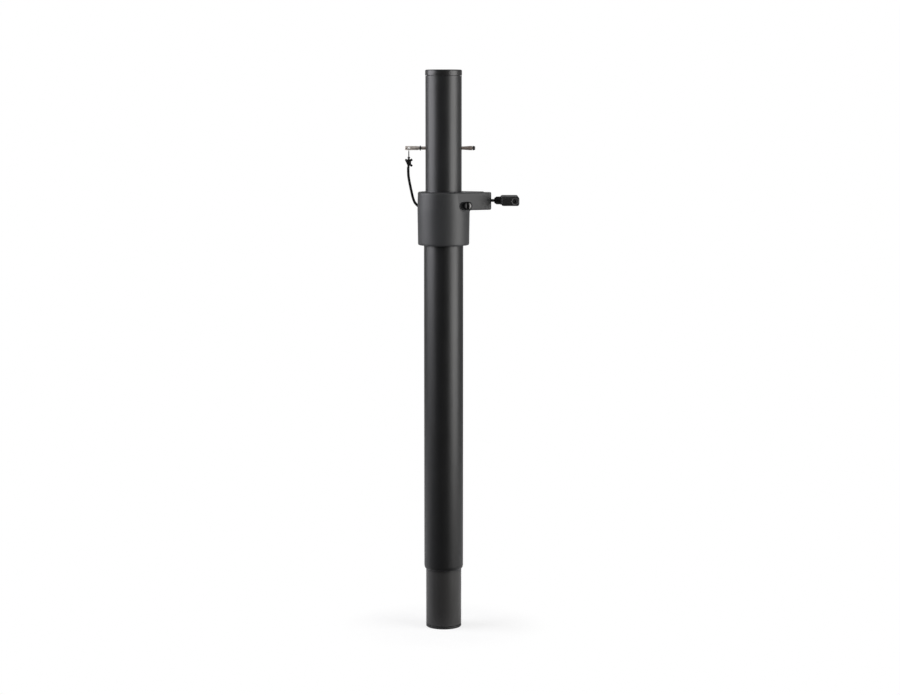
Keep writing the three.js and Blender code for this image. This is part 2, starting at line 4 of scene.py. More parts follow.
import bmesh
import bpy
from mathutils import Matrix, Vector
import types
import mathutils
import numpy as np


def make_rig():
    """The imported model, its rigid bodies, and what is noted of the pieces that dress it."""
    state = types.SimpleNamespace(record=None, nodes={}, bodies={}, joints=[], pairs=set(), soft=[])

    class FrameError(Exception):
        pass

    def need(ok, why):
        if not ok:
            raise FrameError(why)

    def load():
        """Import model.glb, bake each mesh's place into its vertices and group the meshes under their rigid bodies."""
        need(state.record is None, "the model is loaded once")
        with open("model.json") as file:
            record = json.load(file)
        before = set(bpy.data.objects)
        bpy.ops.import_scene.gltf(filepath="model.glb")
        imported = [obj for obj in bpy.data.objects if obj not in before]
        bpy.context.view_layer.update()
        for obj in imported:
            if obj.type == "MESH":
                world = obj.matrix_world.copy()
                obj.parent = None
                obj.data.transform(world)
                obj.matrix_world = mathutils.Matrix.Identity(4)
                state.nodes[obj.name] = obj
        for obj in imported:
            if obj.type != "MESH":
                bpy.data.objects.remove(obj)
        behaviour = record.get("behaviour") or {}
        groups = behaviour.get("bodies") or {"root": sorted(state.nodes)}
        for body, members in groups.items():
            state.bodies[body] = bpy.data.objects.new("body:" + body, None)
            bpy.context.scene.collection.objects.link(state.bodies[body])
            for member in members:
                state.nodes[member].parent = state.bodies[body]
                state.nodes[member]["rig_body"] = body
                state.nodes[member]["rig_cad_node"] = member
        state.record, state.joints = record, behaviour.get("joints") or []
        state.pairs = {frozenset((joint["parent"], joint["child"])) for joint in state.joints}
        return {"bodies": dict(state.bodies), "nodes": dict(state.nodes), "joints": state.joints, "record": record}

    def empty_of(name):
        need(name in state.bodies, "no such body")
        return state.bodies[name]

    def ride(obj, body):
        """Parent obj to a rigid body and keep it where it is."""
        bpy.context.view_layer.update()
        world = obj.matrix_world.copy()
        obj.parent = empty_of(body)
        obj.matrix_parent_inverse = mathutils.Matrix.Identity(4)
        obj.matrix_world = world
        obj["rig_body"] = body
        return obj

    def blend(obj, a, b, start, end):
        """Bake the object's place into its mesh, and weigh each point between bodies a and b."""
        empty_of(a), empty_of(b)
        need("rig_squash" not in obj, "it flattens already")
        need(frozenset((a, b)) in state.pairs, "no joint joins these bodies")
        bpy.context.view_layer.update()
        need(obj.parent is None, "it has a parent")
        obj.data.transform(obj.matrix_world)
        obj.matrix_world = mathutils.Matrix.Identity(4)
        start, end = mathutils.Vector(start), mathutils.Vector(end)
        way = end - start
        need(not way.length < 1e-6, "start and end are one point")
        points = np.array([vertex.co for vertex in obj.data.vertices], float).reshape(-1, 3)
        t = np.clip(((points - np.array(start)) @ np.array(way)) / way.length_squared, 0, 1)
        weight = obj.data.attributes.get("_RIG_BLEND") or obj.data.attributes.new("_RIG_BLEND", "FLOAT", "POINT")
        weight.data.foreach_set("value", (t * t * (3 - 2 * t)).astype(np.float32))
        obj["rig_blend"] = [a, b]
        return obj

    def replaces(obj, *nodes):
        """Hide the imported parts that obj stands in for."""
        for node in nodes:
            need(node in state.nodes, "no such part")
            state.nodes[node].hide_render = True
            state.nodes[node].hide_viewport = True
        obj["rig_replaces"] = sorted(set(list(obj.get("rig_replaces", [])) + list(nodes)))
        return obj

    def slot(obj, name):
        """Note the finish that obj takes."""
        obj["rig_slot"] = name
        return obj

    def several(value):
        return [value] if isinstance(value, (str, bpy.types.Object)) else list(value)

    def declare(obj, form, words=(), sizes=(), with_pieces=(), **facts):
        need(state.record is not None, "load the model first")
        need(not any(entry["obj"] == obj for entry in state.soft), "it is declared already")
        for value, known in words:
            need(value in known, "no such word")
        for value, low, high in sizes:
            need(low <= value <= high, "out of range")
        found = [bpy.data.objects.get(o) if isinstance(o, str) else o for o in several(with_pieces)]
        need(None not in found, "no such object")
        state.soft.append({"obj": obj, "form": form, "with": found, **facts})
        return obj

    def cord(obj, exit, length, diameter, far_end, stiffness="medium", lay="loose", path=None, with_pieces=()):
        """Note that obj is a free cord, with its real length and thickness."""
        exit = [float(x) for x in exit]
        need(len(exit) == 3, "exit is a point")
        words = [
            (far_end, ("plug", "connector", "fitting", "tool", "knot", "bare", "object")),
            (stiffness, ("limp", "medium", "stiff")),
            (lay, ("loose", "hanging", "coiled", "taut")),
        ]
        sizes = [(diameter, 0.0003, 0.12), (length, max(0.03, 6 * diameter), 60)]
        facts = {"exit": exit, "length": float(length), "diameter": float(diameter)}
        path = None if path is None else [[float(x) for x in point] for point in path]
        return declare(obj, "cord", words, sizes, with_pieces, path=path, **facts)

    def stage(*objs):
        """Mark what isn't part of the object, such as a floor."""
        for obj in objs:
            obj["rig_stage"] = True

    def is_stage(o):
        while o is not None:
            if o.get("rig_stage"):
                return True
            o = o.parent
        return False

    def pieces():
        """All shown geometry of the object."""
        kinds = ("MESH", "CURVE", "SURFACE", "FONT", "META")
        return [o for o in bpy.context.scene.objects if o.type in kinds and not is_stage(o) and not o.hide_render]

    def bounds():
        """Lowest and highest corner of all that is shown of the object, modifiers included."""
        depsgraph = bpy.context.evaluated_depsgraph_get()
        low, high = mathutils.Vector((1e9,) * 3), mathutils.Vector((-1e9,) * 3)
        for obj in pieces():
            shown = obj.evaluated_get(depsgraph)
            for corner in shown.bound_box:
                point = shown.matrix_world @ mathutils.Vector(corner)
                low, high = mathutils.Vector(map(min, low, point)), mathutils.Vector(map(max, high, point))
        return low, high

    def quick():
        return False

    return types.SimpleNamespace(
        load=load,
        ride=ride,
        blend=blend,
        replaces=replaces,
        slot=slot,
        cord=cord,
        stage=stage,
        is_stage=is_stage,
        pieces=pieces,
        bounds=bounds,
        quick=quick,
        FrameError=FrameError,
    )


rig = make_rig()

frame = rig.load()
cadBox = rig.bounds()

mm = 0.001
roundSides = 48 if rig.quick() else 128
places = {"clampZ": 419.6, "boltX": 23.4, "boltZ": 415, "dishX": 68.5, "pinZ": 470}  # shared by pieces, in mm

photoView = {"lens": 86.8, "sensor": 36, "side": 6.2 * mm, "back": 2.1, "height": 0.5158, "pitch": 6.5}


def addCamera():
    lens = bpy.data.cameras.new("camera")
    lens.sensor_fit = "HORIZONTAL"
    lens.sensor_width = photoView["sensor"]
    lens.lens = photoView["lens"]
    camera = bpy.data.objects.new("camera", lens)
    camera.location = (photoView["side"], -photoView["back"], photoView["height"])
    camera.rotation_euler = (radians(90 - photoView["pitch"]), 0, 0)
    bpy.context.scene.collection.objects.link(camera)
    bpy.context.scene.camera = camera


addCamera()
print("camera set")


class Term:  # a shader socket that can stand in a Python sum
    def __init__(self, graph, socket):
        self.graph = graph
        self.socket = socket

    def math(self, operation, *values):
        return self.graph.node("Math", {"operation": operation}, values)

    def __add__(self, other):
        return self.math("ADD", self, other)

    def __sub__(self, other):
        return self.math("SUBTRACT", self, other)

    def __rsub__(self, other):
        return self.math("SUBTRACT", other, self)

    def __mul__(self, other):
        return self.math("MULTIPLY", self, other)

    def __abs__(self):
        return self.math("ABSOLUTE", self)

    __radd__ = __add__
    __rmul__ = __mul__

    def root(self):
        return self.math("SQRT", self)

    def orMore(self, other):
        return self.math("MAXIMUM", self, other)

    def step(self, low, high, start=0, end=1):  # start below low, end above high, smooth between
        values = {"Value": self, "From Min": low, "From Max": high, "To Min": start, "To Max": end}
        return self.graph.node("MapRange", {"interpolation_type": "SMOOTHSTEP"}, values)


class Graph:  # a node tree and the method that adds to it
    def __init__(self, tree, coordinates):
        self.nodes = tree.nodes
        self.links = tree.links
        self.place = self.node("TexCoord", output=coordinates)

    def feed(self, socket, value):
        if isinstance(value, Term):
            self.links.new(value.socket, socket)
        else:
            socket.default_value = value

    def node(self, kind, settings=None, values=(), output=None):
        made = self.nodes.new("ShaderNode" + kind)
        for name, value in (settings or {}).items():
            setattr(made, name, value)
        ready = [socket for socket in made.inputs if socket.enabled]
        for key, value in values.items() if isinstance(values, dict) else enumerate(values):
            socket = ready[key] if isinstance(key, int) else next(s for s in ready if s.name == key)
            self.feed(socket, value)
        given = [socket for socket in made.outputs if socket.enabled]
        return Term(self, made.outputs[output] if output else given[0])

    def axes(self):  # the X, Y and Z of a place
        split = self.node("SeparateXYZ", {}, (self.place,)).socket.node
        return [Term(self, socket) for socket in split.outputs]


class Finish(Graph):  # one material
    def __init__(self, name, plain):
        self.material = bpy.data.materials.new(name)
        self.material.use_nodes = True
        super().__init__(self.material.node_tree, "Object")
        self.surface = self.nodes["Principled BSDF"]
        for socket, value in plain.items():
            self.surface.inputs[socket].default_value = value

    def noise(self, scale, detail=2, stretch=None, roughness=0.5):  # scale is per metre
        where = self.place
        if stretch:
            where = self.node("VectorMath", {"operation": "MULTIPLY"}, (where, stretch))
        values = {"Vector": where, "Scale": scale, "Detail": detail, "Roughness": roughness}
        return self.node("TexNoise", {}, values, "Fac")

    def mix(self, share, first, second):
        return self.node("Mix", {"data_type": "RGBA"}, (share, first, second))

    def set(self, socket, value):
        self.feed(self.surface.inputs[socket], value)

    def bump(self, height, distance, strength):
        values = {"Strength": strength, "Distance": distance, "Height": height}
        self.set("Normal", self.node("Bump", {}, values, "Normal"))


def grey(value, warm=0.0):
    return (value * (1 + warm), value, value * (1 - warm), 1)


# the spigot's lighter colour is painted bounce light from the floor
powderCoat = {
    "dark": grey(0.004, -0.03), "light": grey(0.02, -0.04), "rub": grey(0.05, -0.02),
    "paintedBounce": grey(0.031, 0.02), "roughness": 0.25, "grain": 1900, "clouds": 45, "runs": 520, "streaks": 330,
    "depth": 0.035 * mm, "stripe": (4 * mm, 8 * mm), "socketRim": (54 * mm, 60 * mm),
}


def makePowderCoat(name, rubbed, shade):
    look = powderCoat
    coat = Finish(name, {"Specular IOR Level": 0.42})
    grain = coat.noise(look["grain"], 3, roughness=0.6)
    clouds = coat.noise(look["clouds"], 3)
    peel = coat.noise(look["grain"] * 0.3, 2)
    runs = coat.noise(look["runs"], 4, (1, 1, 0.02), 0.65)
    streaks = coat.noise(look["streaks"], 3, (1, 1, 0.03), 0.6)
    x, y, z = coat.axes()
    marks = runs.step(0.56, 0.72) * clouds.step(0.35, 0.7)
    if rubbed:  # the brake shoe and the guide polish a stripe on the +X side
        stripe = (1 - abs(y).step(*look["stripe"])) * x.step(0, 6 * mm)
        marks = marks * (0.35 + stripe * 0.65)
    else:
        marks = marks * 0.25
    tone = coat.mix((clouds * 0.5 + grain * 0.5) * shade, look["dark"], look["light"])
    spigotPaintedLight = 1 - z.step(*look["socketRim"])  # the spigot's coat is painted lighter, as painted bounce light from the floor
    tone = coat.mix(spigotPaintedLight * (0.6 + grain * 0.25 + runs * 0.3), tone, look["paintedBounce"])
    coat.set("Base Color", coat.mix(marks * 0.6, tone, look["rub"]))
    coat.set("Roughness", look["roughness"] + grain * 0.1 + clouds * 0.06 + streaks * 0.16 - marks * 0.1)
    coat.bump(grain * 0.7 + peel * 0.9 - marks * 0.2, look["depth"], 0.55)
    return coat.material


collarNylon = {
    "dark": grey(0.02, -0.03), "light": grey(0.04, -0.03), "roughness": 0.38, "grain": 2600, "clouds": 70,
    "flow": 220, "parting": (0.08 * mm, 0.3 * mm), "depth": 0.05 * mm,
}


def makeCollarNylon():
    look = collarNylon
    nylon = Finish("collarNylon", {"Specular IOR Level": 0.4})
    grain = nylon.noise(look["grain"], 2, roughness=0.7)
    clouds = nylon.noise(look["clouds"], 3)
    flow = nylon.noise(look["flow"], 3, (1, 1, 0.12))
    y = nylon.axes()[1]
    parting = 1 - abs(y).step(*look["parting"])  # where the two halves of the mould met
    mottle = grain * 0.45 + clouds * 0.35 + flow * 0.2
    nylon.set("Base Color", nylon.mix(mottle, look["dark"], look["light"]))
    nylon.set("Roughness", look["roughness"] + grain * 0.14 + clouds * 0.06 - parting * 0.05)
    nylon.bump(grain + flow * 0.6 + parting * 1.4, look["depth"], 0.6)
    return nylon.material


handleNylon = {
    "dark": grey(0.003), "light": grey(0.009), "rim": grey(0.09), "roughness": 0.5, "grain": 2100,
    "flow": 900, "clouds": 90, "rimStart": (2.2 * mm, 2.7 * mm), "rimEnd": (3.1 * mm, 3.6 * mm),
    "barEnd": (21.5 * mm, 22.3 * mm), "depth": 0.05 * mm,
}


def makeHandleNylon():
    look = handleNylon
    nylon = Finish("handleNylon", {"Specular IOR Level": 0.3})
    grain = nylon.noise(look["grain"], 2)
    flow = nylon.noise(look["flow"], 3, (0.06, 0.5, 1), 0.6)
    clouds = nylon.noise(look["clouds"], 2)
    x, y, z = nylon.axes()
    across, up = x - places["dishX"] * mm, z - places["clampZ"] * mm
    away = (across * across + up * up).root()
    # rim marks the ring round each dish where a highlight is painted
    rim = away.step(*look["rimStart"]) * (1 - away.step(*look["rimEnd"])) * abs(y).step(*look["barEnd"])
    tone = nylon.mix(flow * 0.6 + clouds * 0.4, look["dark"], look["light"])
    nylon.set("Base Color", nylon.mix(rim * 0.8, tone, look["rim"]))  # a painted highlight on the dishes' rims
    nylon.set("Roughness", look["roughness"] + flow * 0.14 + grain * 0.08)
    nylon.bump(flow * 1.2 + grain * 0.5, look["depth"], 0.6)
    return nylon.material


capRubber = {"grain": 2400, "clouds": 120, "dust": 600, "depth": 0.03 * mm}


def makeCapBlack(name, dark, light, roughness):
    look = capRubber
    cap = Finish(name, {"Specular IOR Level": 0.42})
    grain = cap.noise(look["grain"], 2)
    clouds = cap.noise(look["clouds"], 3)
    dust = cap.noise(look["dust"], 4, roughness=0.7).step(0.6, 0.75)
    cap.set("Base Color", cap.mix(clouds * 0.6 + dust * 0.4, dark, light))
    cap.set("Roughness", roughness + grain * 0.12 + dust * 0.06)
    cap.bump(grain + clouds * 0.5, look["depth"], 0.5)
    return cap.material


bushNylon = {
    "dark": (0.52, 0.5, 0.44, 1), "light": (0.68, 0.66, 0.6, 1), "roughness": 0.38, "clouds": 160,
    "turning": 900, "depth": 0.03 * mm,
    "translucence": {"Subsurface Weight": 0.15, "Subsurface Scale": 1.5 * mm},
}


def makeBushNylon():
    look = bushNylon
    nylon = Finish("bushNylon", {"Specular IOR Level": 0.45, **look["translucence"]})
    clouds = nylon.noise(look["clouds"], 3)
    turned = nylon.noise(look["turning"], 2, (0.1, 0.1, 1))
    nylon.set("Base Color", nylon.mix(clouds, look["dark"], look["light"]))
    nylon.set("Roughness", look["roughness"] + clouds * 0.16 + turned * 0.08)
    nylon.bump(turned + clouds * 0.4, look["depth"], 0.5)
    return nylon.material


plating = {"brush": 2600, "clouds": 380, "spots": 1500, "depth": 0.012 * mm}


def makeSteel(name, dark, light, roughness, brush=None):
    look = plating
    steel = Finish(name, {"Metallic": 1.0})
    brushed = steel.noise(look["brush"], 3, brush, 0.6)
    clouds = steel.noise(look["clouds"], 4, roughness=0.6)
    spots = steel.noise(look["spots"], 2).step(0.62, 0.74)
    steel.set("Base Color", steel.mix(clouds * 0.7 + brushed * 0.3, dark, light))
    steel.set("Roughness", roughness + brushed * 0.14 + spots * 0.12)
    steel.bump(brushed + spots * 0.3, look["depth"], 0.6)
    return steel.material


boltSteel = {
    "dark": grey(0.16), "light": grey(0.3, 0.02), "slotShade": grey(0.01), "roughness": 0.42, "clouds": 700,
    "slotSides": (0.95 * mm, 1.1 * mm), "slotFloor": (-16.95 * mm, -16.6 * mm), "depth": 0.012 * mm,
}


def makeBoltSteel():  # with painted shade in the slot
    look = boltSteel
    steel = Finish("boltSteel", {"Metallic": 0.7})
    clouds = steel.noise(look["clouds"], 3)
    x, y = steel.axes()[:2]
    # slot masks the bolt's slot, which is painted dark as its shade
    slot = (1 - abs(x - places["boltX"] * mm).step(*look["slotSides"])) * y.step(*look["slotFloor"])
    tone = steel.mix(clouds, look["dark"], look["light"])
    steel.set("Base Color", steel.mix(slot, tone, look["slotShade"]))
    steel.set("Roughness", look["roughness"] + clouds * 0.12 + slot * 0.3)
    steel.bump(clouds, look["depth"], 0.5)
    return steel.material


pinSteel = {
    "bright": ((0.5, 0.44, 0.39, 1), (0.9, 0.83, 0.765, 1)),
    "dull": ((0.18, 0.145, 0.125, 1), (0.4, 0.335, 0.305, 1)),
    "change": (-26 * mm, -10 * mm), "roughness": 0.3, "turning": 2600, "clouds": 420, "depth": 0.012 * mm,
}


def makePinSteel():  # bright where fingers pull it, browner and darker towards its tip
    look = pinSteel
    steel = Finish("pinSteel", {"Metallic": 0.55})
    turned = steel.noise(look["turning"], 3, (0.08, 1, 1), 0.6)
    clouds = steel.noise(look["clouds"], 4, roughness=0.6)
    x = steel.axes()[0]
    tip = x.step(*look["change"])
    mottle = clouds * 0.7 + turned * 0.3
    bright, dull = steel.mix(mottle, *look["bright"]), steel.mix(mottle, *look["dull"])
    steel.set("Base Color", steel.mix(tip, bright, dull))
    steel.set("Roughness", look["roughness"] + turned * 0.14 + tip * 0.06)
    steel.bump(turned + clouds * 0.3, look["depth"], 0.6)
    return steel.material


cordBlack = {
    "dark": grey(0.002), "light": grey(0.012), "roughness": 0.72, "fibres": 9000, "fuzz": 1400,
    "depth": 0.03 * mm, "sheen": {"Sheen Weight": 0.1, "Sheen Roughness": 0.4},
}


def makeCordBlack():
    look = cordBlack
    fabric = Finish("cordBlack", {"Specular IOR Level": 0.22, **look["sheen"]})
    fibres = fabric.noise(look["fibres"], 2, roughness=0.6)
    fuzz = fabric.noise(look["fuzz"], 3)
    fabric.set("Base Color", fabric.mix(fibres * 0.6 + fuzz * 0.4, look["dark"], look["light"]))
    fabric.set("Roughness", look["roughness"] + fibres * 0.2)
    fabric.bump(fibres, look["depth"], 0.5)
    return fabric.material


finishes = {
    "tubeBlack": makePowderCoat("tubeBlack", False, 0.35),
    "mastBlack": makePowderCoat("mastBlack", True, 1),
    "collarNylon": makeCollarNylon(),
    "handleNylon": makeHandleNylon(),
    "capBlack": makeCapBlack("capBlack", grey(0.008), grey(0.022), 0.3),
    "footBlack": makeCapBlack("footBlack", grey(0.006), grey(0.016), 0.42),
    "bushNylon": makeBushNylon(),
    "darkSteel": makeSteel("darkSteel", grey(0.1), grey(0.2, 0.02), 0.34),
    "boltSteel": makeBoltSteel(),
    "screwBlack": makeSteel("screwBlack", grey(0.03), grey(0.07, 0.02), 0.4),
    "zincSteel": makeSteel("zincSteel", grey(0.4, 0.02), grey(0.58, 0.03), 0.28, (1, 0.3, 1)),
    "pinSteel": makePinSteel(),
    "ringSteel": makeSteel("ringSteel", grey(0.45, 0.02), grey(0.66, 0.02), 0.2),
    "cordBlack": makeCordBlack(),
}
print("finishes made")

upX = Matrix.Rotation(pi / 2, 4, "Y")  # turns what stands along Z to lie along X
upY = Matrix.Rotation(-pi / 2, 4, "X")
downY = Matrix.Rotation(pi / 2, 4, "X")


def shown(name, mesh, turn=None, at=(0, 0, 0)):  # turned, then moved to a place in mm
    mesh.transform(Matrix.Translation(Vector(at) * mm) @ (turn or Matrix()))
    bmesh.ops.recalc_face_normals(mesh, faces=mesh.faces)
    data = bpy.data.meshes.new(name)
    mesh.to_mesh(data)
    mesh.free()
    piece = bpy.data.objects.new(name, data)
    bpy.context.scene.collection.objects.link(piece)
    return piece


def settle(piece):  # applies the modifiers
    graph = bpy.context.evaluated_depsgraph_get()
    piece.data = bpy.data.meshes.new_from_object(piece.evaluated_get(graph))
    piece.modifiers.clear()
    return piece


def worked(piece, tools, operation="DIFFERENCE"):  # cut a thousand times larger, where slivers still count
    for each in (piece, *tools):
        each.data.transform(Matrix.Scale(1 / mm, 4))
    for tool in tools:
        change = piece.modifiers.new("work", "BOOLEAN")
        change.object = tool
        change.operation = operation
        change.solver = "EXACT"
    settle(piece)
    piece.data.transform(Matrix.Scale(mm, 4))
    for tool in tools:
        bpy.data.objects.remove(tool)
    return piece


def moulded(piece, voxel, passes):  # remeshed and smoothed, so that every inner and outer edge is rounded
    change = piece.modifiers.new("remesh", "REMESH")
    change.mode = "VOXEL"
    change.voxel_size = voxel * (1.8 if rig.quick() else 1)
    change = piece.modifiers.new("smooth", "SMOOTH")
    change.factor = 0.5
    change.iterations = passes
    return settle(piece)


def finished(piece, body, finish, slot, node, sharp=32):  # edges over the sharp angle, in degrees, stay crisp
    piece.data.materials.clear()
    piece.data.materials.append(finishes[finish])
    piece.data.shade_smooth()
    if sharp:
        piece.data.set_sharp_from_angle(angle=radians(sharp))
    if body:
        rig.ride(piece, body)
    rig.slot(piece, slot)
    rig.replaces(piece, node)
    return piece


def softened(corners):  # (radius, height) or (radius, height, rounding) corners, in mm
    steps = 5
    points = []
    for i, corner in enumerate(corners):
        here = Vector(corner[:2])
        rounding = corner[2] if len(corner) > 2 else 0
        if not rounding:
            points.append(tuple(here))
            continue
        back = (Vector(corners[i - 1][:2]) - here).normalized()
        ahead = (Vector(corners[(i + 1) % len(corners)][:2]) - here).normalized()
        half = back.angle(ahead) / 2
        start = back * (rounding / tan(half))
        end = ahead * (rounding / tan(half))
        centre = (back + ahead).normalized() * (rounding / sin(half))
        for k in range(steps + 1):
            way = (start - centre).lerp(end - centre, k / steps).normalized()
            points.append(tuple(here + centre + way * rounding))
    return points


def bridge(mesh, low, high):  # the faces between two rings of points, one of which may be a single tip
    sides = max(len(low), len(high))
    for k in range(sides):
        after = (k + 1) % sides
        around = (low[k % len(low)], low[after % len(low)], high[after % len(high)], high[k % len(high)])
        face = list(dict.fromkeys(around))
        if len(face) > 2:
            mesh.faces.new(face)


def lathe(name, corners, turn=None, at=(0, 0, 0), sides=roundSides, wobble=None):  # sizes in mm
    mesh = bmesh.new()
    rings = []
    for radius, height in softened(corners):
        if radius < 1e-6:
            rings.append([mesh.verts.new((0, 0, height * mm))])
            continue
        ring = []
        for k in range(sides):
            angle = tau * k / sides
            r = radius * (wobble(angle, height) if wobble else 1) * mm
            ring.append(mesh.verts.new((r * cos(angle), r * sin(angle), height * mm)))
        rings.append(ring)
    pairs = list(zip(rings, rings[1:]))
    if len(rings[0]) > 1:
        pairs.append((rings[-1], rings[0]))
    for low, high in pairs:
        bridge(mesh, low, high)
    return shown(name, mesh, turn, at)


def slab(name, outline, low, high, turn=None, at=(0, 0, 0), bevel=0, rims=False):  # an outline raised along Z
    mesh = bmesh.new()
    base = mesh.faces.new([mesh.verts.new((x * mm, y * mm, low * mm)) for x, y in outline])
    lid = bmesh.ops.extrude_face_region(mesh, geom=[base])["geom"]
    corners = [v for v in lid if isinstance(v, bmesh.types.BMVert)]
    bmesh.ops.translate(mesh, vec=(0, 0, (high - low) * mm), verts=corners)
    if bevel:  # round every edge, or the two rims alone
        edges = [e for e in mesh.edges if not rims or abs(e.verts[0].co.z - e.verts[1].co.z) < 1e-6]
        bmesh.ops.bevel(mesh, geom=edges, offset=bevel * mm, segments=4, profile=0.5, affect="EDGES")
    return shown(name, mesh, turn, at)


def rectangle(xs, ys):
    return [(xs[0], ys[0]), (xs[1], ys[0]), (xs[1], ys[1]), (xs[0], ys[1])]


def box(name, xs, ys, zs, bevel=0):
    return slab(name, rectangle(xs, ys), *zs, bevel=bevel)


def rod(name, radius, low, high, turn=None, at=(0, 0, 0), sides=48):
    return lathe(name, [(0, low), (radius, low), (radius, high), (0, high)], turn, at, sides)


outerTube = {
    "radius": 19.05, "wall": 1.2, "top": 409.8, "spigot": 17.3, "spigotTop": 58.2, "rise": 4, "bottom": 2.8,
}


def shoulderPoints(inner, outer, bottom):  # a quarter of an ellipse, from the spigot out to the tube
    steps = 10
    for k in range(steps + 1):
        angle = k / steps * pi / 2
        yield inner + (outer - inner) * sin(angle), bottom + outerTube["rise"] * (1 - cos(angle))


def addOuterTube():
    size = outerTube
    radius, spigot, wall = size["radius"], size["spigot"], size["wall"]
    inside = list(shoulderPoints(spigot - wall, radius - wall, size["spigotTop"] + wall))
    corners = [(spigot, size["bottom"], 0.35), *shoulderPoints(spigot, radius, size["spigotTop"])]
    corners += [(radius, size["top"], 0.3), (radius - wall, size["top"], 0.3)]
    corners += [*reversed(inside), (spigot - wall, size["bottom"], 0.2)]
    finished(lathe("outerTube", corners), "base", "tubeBlack", "tube_black", "outer_tube")


footCap = {
    "radius": 17.3, "lid": 2.5, "rounding": 1.0, "plug": 15.8, "top": 15.5, "wall": 2, "dimple": 9,
    "dimpleDepth": 0.5,
}


def addFootCap():
    size = footCap
    lid, plug, top, dimple = size["lid"], size["plug"], size["top"], size["dimple"]
    inner = plug - size["wall"]
    corners = [(0, size["dimpleDepth"]), (dimple, size["dimpleDepth"], 0.4), (dimple + 0.6, 0, 0.4)]
    corners += [(size["radius"], 0, size["rounding"]), (size["radius"], lid, 0.3)]
    corners += [(plug, lid), (plug, top, 0.5), (inner, top, 0.4), (inner, lid), (0, lid)]
    finished(lathe("footCap", corners), "base", "footBlack", "cap_black", "foot_cap")


mast = {
    "radius": 17.5, "inner": 16.3, "low": 66.5, "high": 539.2, "hole": 2.4, "flare": 4.2, "holes": 7,
    "pitch": 50.8,
}


def addMast():
    size = mast
    corners = [(size["radius"], size["low"], 0.3), (size["radius"], size["high"], 0.15)]
    corners += [(size["inner"], size["high"], 0.2), (size["inner"], size["low"], 0.2)]
    piece = lathe("mastTube", corners)
    reach, skin = size["radius"] + 4, size["radius"] - 0.35
    drill = [(0, -reach), (size["flare"], -reach), (size["hole"], -skin)]
    drill += [(size["hole"], skin), (size["flare"], reach), (0, reach)]
    heights = [places["pinZ"] - k * size["pitch"] for k in range(size["holes"])]
    worked(piece, [lathe("hole", drill, upX, (0, 0, height), 40) for height in heights])
    finished(piece, "mast", "mastBlack", "tube_black", "mast_tube")
    roundNormals(piece, size["radius"] * mm, size["inner"] * mm)


def roundNormals(piece, outer, inner):  # the cut faces of the tube shade as one round wall
    data = piece.data
    normals = []
    for face in data.polygons:
        middle = face.center
        flat = abs(face.normal.z) < 0.1
        radial = Vector((middle.x, middle.y, 0))
        away = radial.length and radial.normalized().dot(face.normal)
        near = min(abs(radial.length - outer), abs(radial.length - inner)) < 0.2 * mm
        for index in face.vertices:
            point = data.vertices[index].co
            if flat and near and abs(away) > 0.99:
                normals.append(Vector((point.x, point.y, 0)).normalized() * (1 if away > 0 else -1))
            else:
                normals.append(face.normal.copy())
    data.normals_split_custom_set(normals)


topCap = {
    "rim": 17.75, "low": 539.5, "high": 545, "rounding": 1.2, "plug": 16, "plugLow": 524.5, "wall": 2,
    "dimple": 12.8, "dimpleDepth": 0.35,
}


def addTopCap():
    size = topCap
    low, high, plug, plugLow = size["low"], size["high"], size["plug"], size["plugLow"]
    inner, floor = plug - size["wall"], high - size["dimpleDepth"]
    corners = [(0, low), (inner, low), (inner, plugLow, 0.3), (plug, plugLow, 0.5), (plug, low)]
    corners += [(size["rim"], low, 0.15), (size["rim"], high, size["rounding"])]
    corners += [(size["dimple"] + 0.4, high, 0.3), (size["dimple"], floor, 0.3), (0, floor)]
    finished(lathe("topCap", corners), "mast", "capBlack", "cap_black", "top_cap")


addOuterTube()
addFootCap()
addMast()
addTopCap()
print("tubes made")

setScrew = {
    "z": 388.5, "turns": {"right": 60, "left": 120}, "start": 19.35, "end": 24, "radius": 2.4, "flats": 2.45,
    "hole": 2.8, "holeStart": 17.85, "rim": 3.6, "rimStart": 23.8, "rimEnd": 25.4,
}

collar = {
    "low": 376.5, "high": 428, "foot": 24.8, "wide": 25.3, "top": 24.9, "bore": 19.35, "lipBore": 17.8,
    "lip": 2.2, "armReach": 46, "armLow": 410.8, "armEnd": 6.5, "armCorner": 3.5, "armRounding": 1.2,
    "flank": 24.7, "fillet": 2.4, "step": (38.6, 50), "stepDepth": 0.5,
    "recess": ((0, 21.6), (-8.9, 8.9), (413.8, 425.3)), "nutSlot": ((30.7, 35.3), (-4.3, 4.3), (400, 423.9)),
    "screwHole": 2.8, "boltHole": 2, "seat": 14.4, "pocket": 3.7, "pocketRun": 4.6, "eyeletPocket": 4.8,
    "channel": 2.2, "channelLow": 405, "voxel": 0.42 * mm,
}


def armOutline(inset):  # flanks that leave the round wall as tangents and close in to the arm's end
    steps = 8
    reach, end = collar["armReach"], collar["armEnd"]
    tilt = asin(collar["flank"] / sqrt(reach * reach + end * end)) - atan2(end, reach)
    flank, corner = collar["flank"] - inset, collar["armCorner"] - inset
    x = reach - inset - corner
    y = (flank - corner - x * sin(tilt)) / cos(tilt)
    lower = [(flank * sin(tilt), -flank * cos(tilt))]
    for k in range(steps + 1):
        angle = (tilt - pi / 2) * (1 - k / steps)
        lower.append((x + corner * cos(angle), corner * sin(angle) - y))
    return lower + [(px, -py) for px, py in reversed(lower)]


def underArmFillet():  # the hollow rounding under the arm, round the collar's wall
    steps = 8
    wide, low, rounding = collar["wide"], collar["armLow"], collar["fillet"]
    corners = [(wide - 1, low - rounding), (wide - 0.02, low - rounding)]
    for k in range(1, steps):
        angle = pi - k / steps * pi / 2
        corners.append((wide + rounding + rounding * cos(angle), low - rounding + rounding * sin(angle)))
    corners += [(wide + rounding, low + 0.6), (wide - 1, low + 0.6)]
    ring = lathe("fillet", corners)
    return worked(ring, [slab("wedge", armOutline(0.9), low - 4, low + 2)], "INTERSECT")


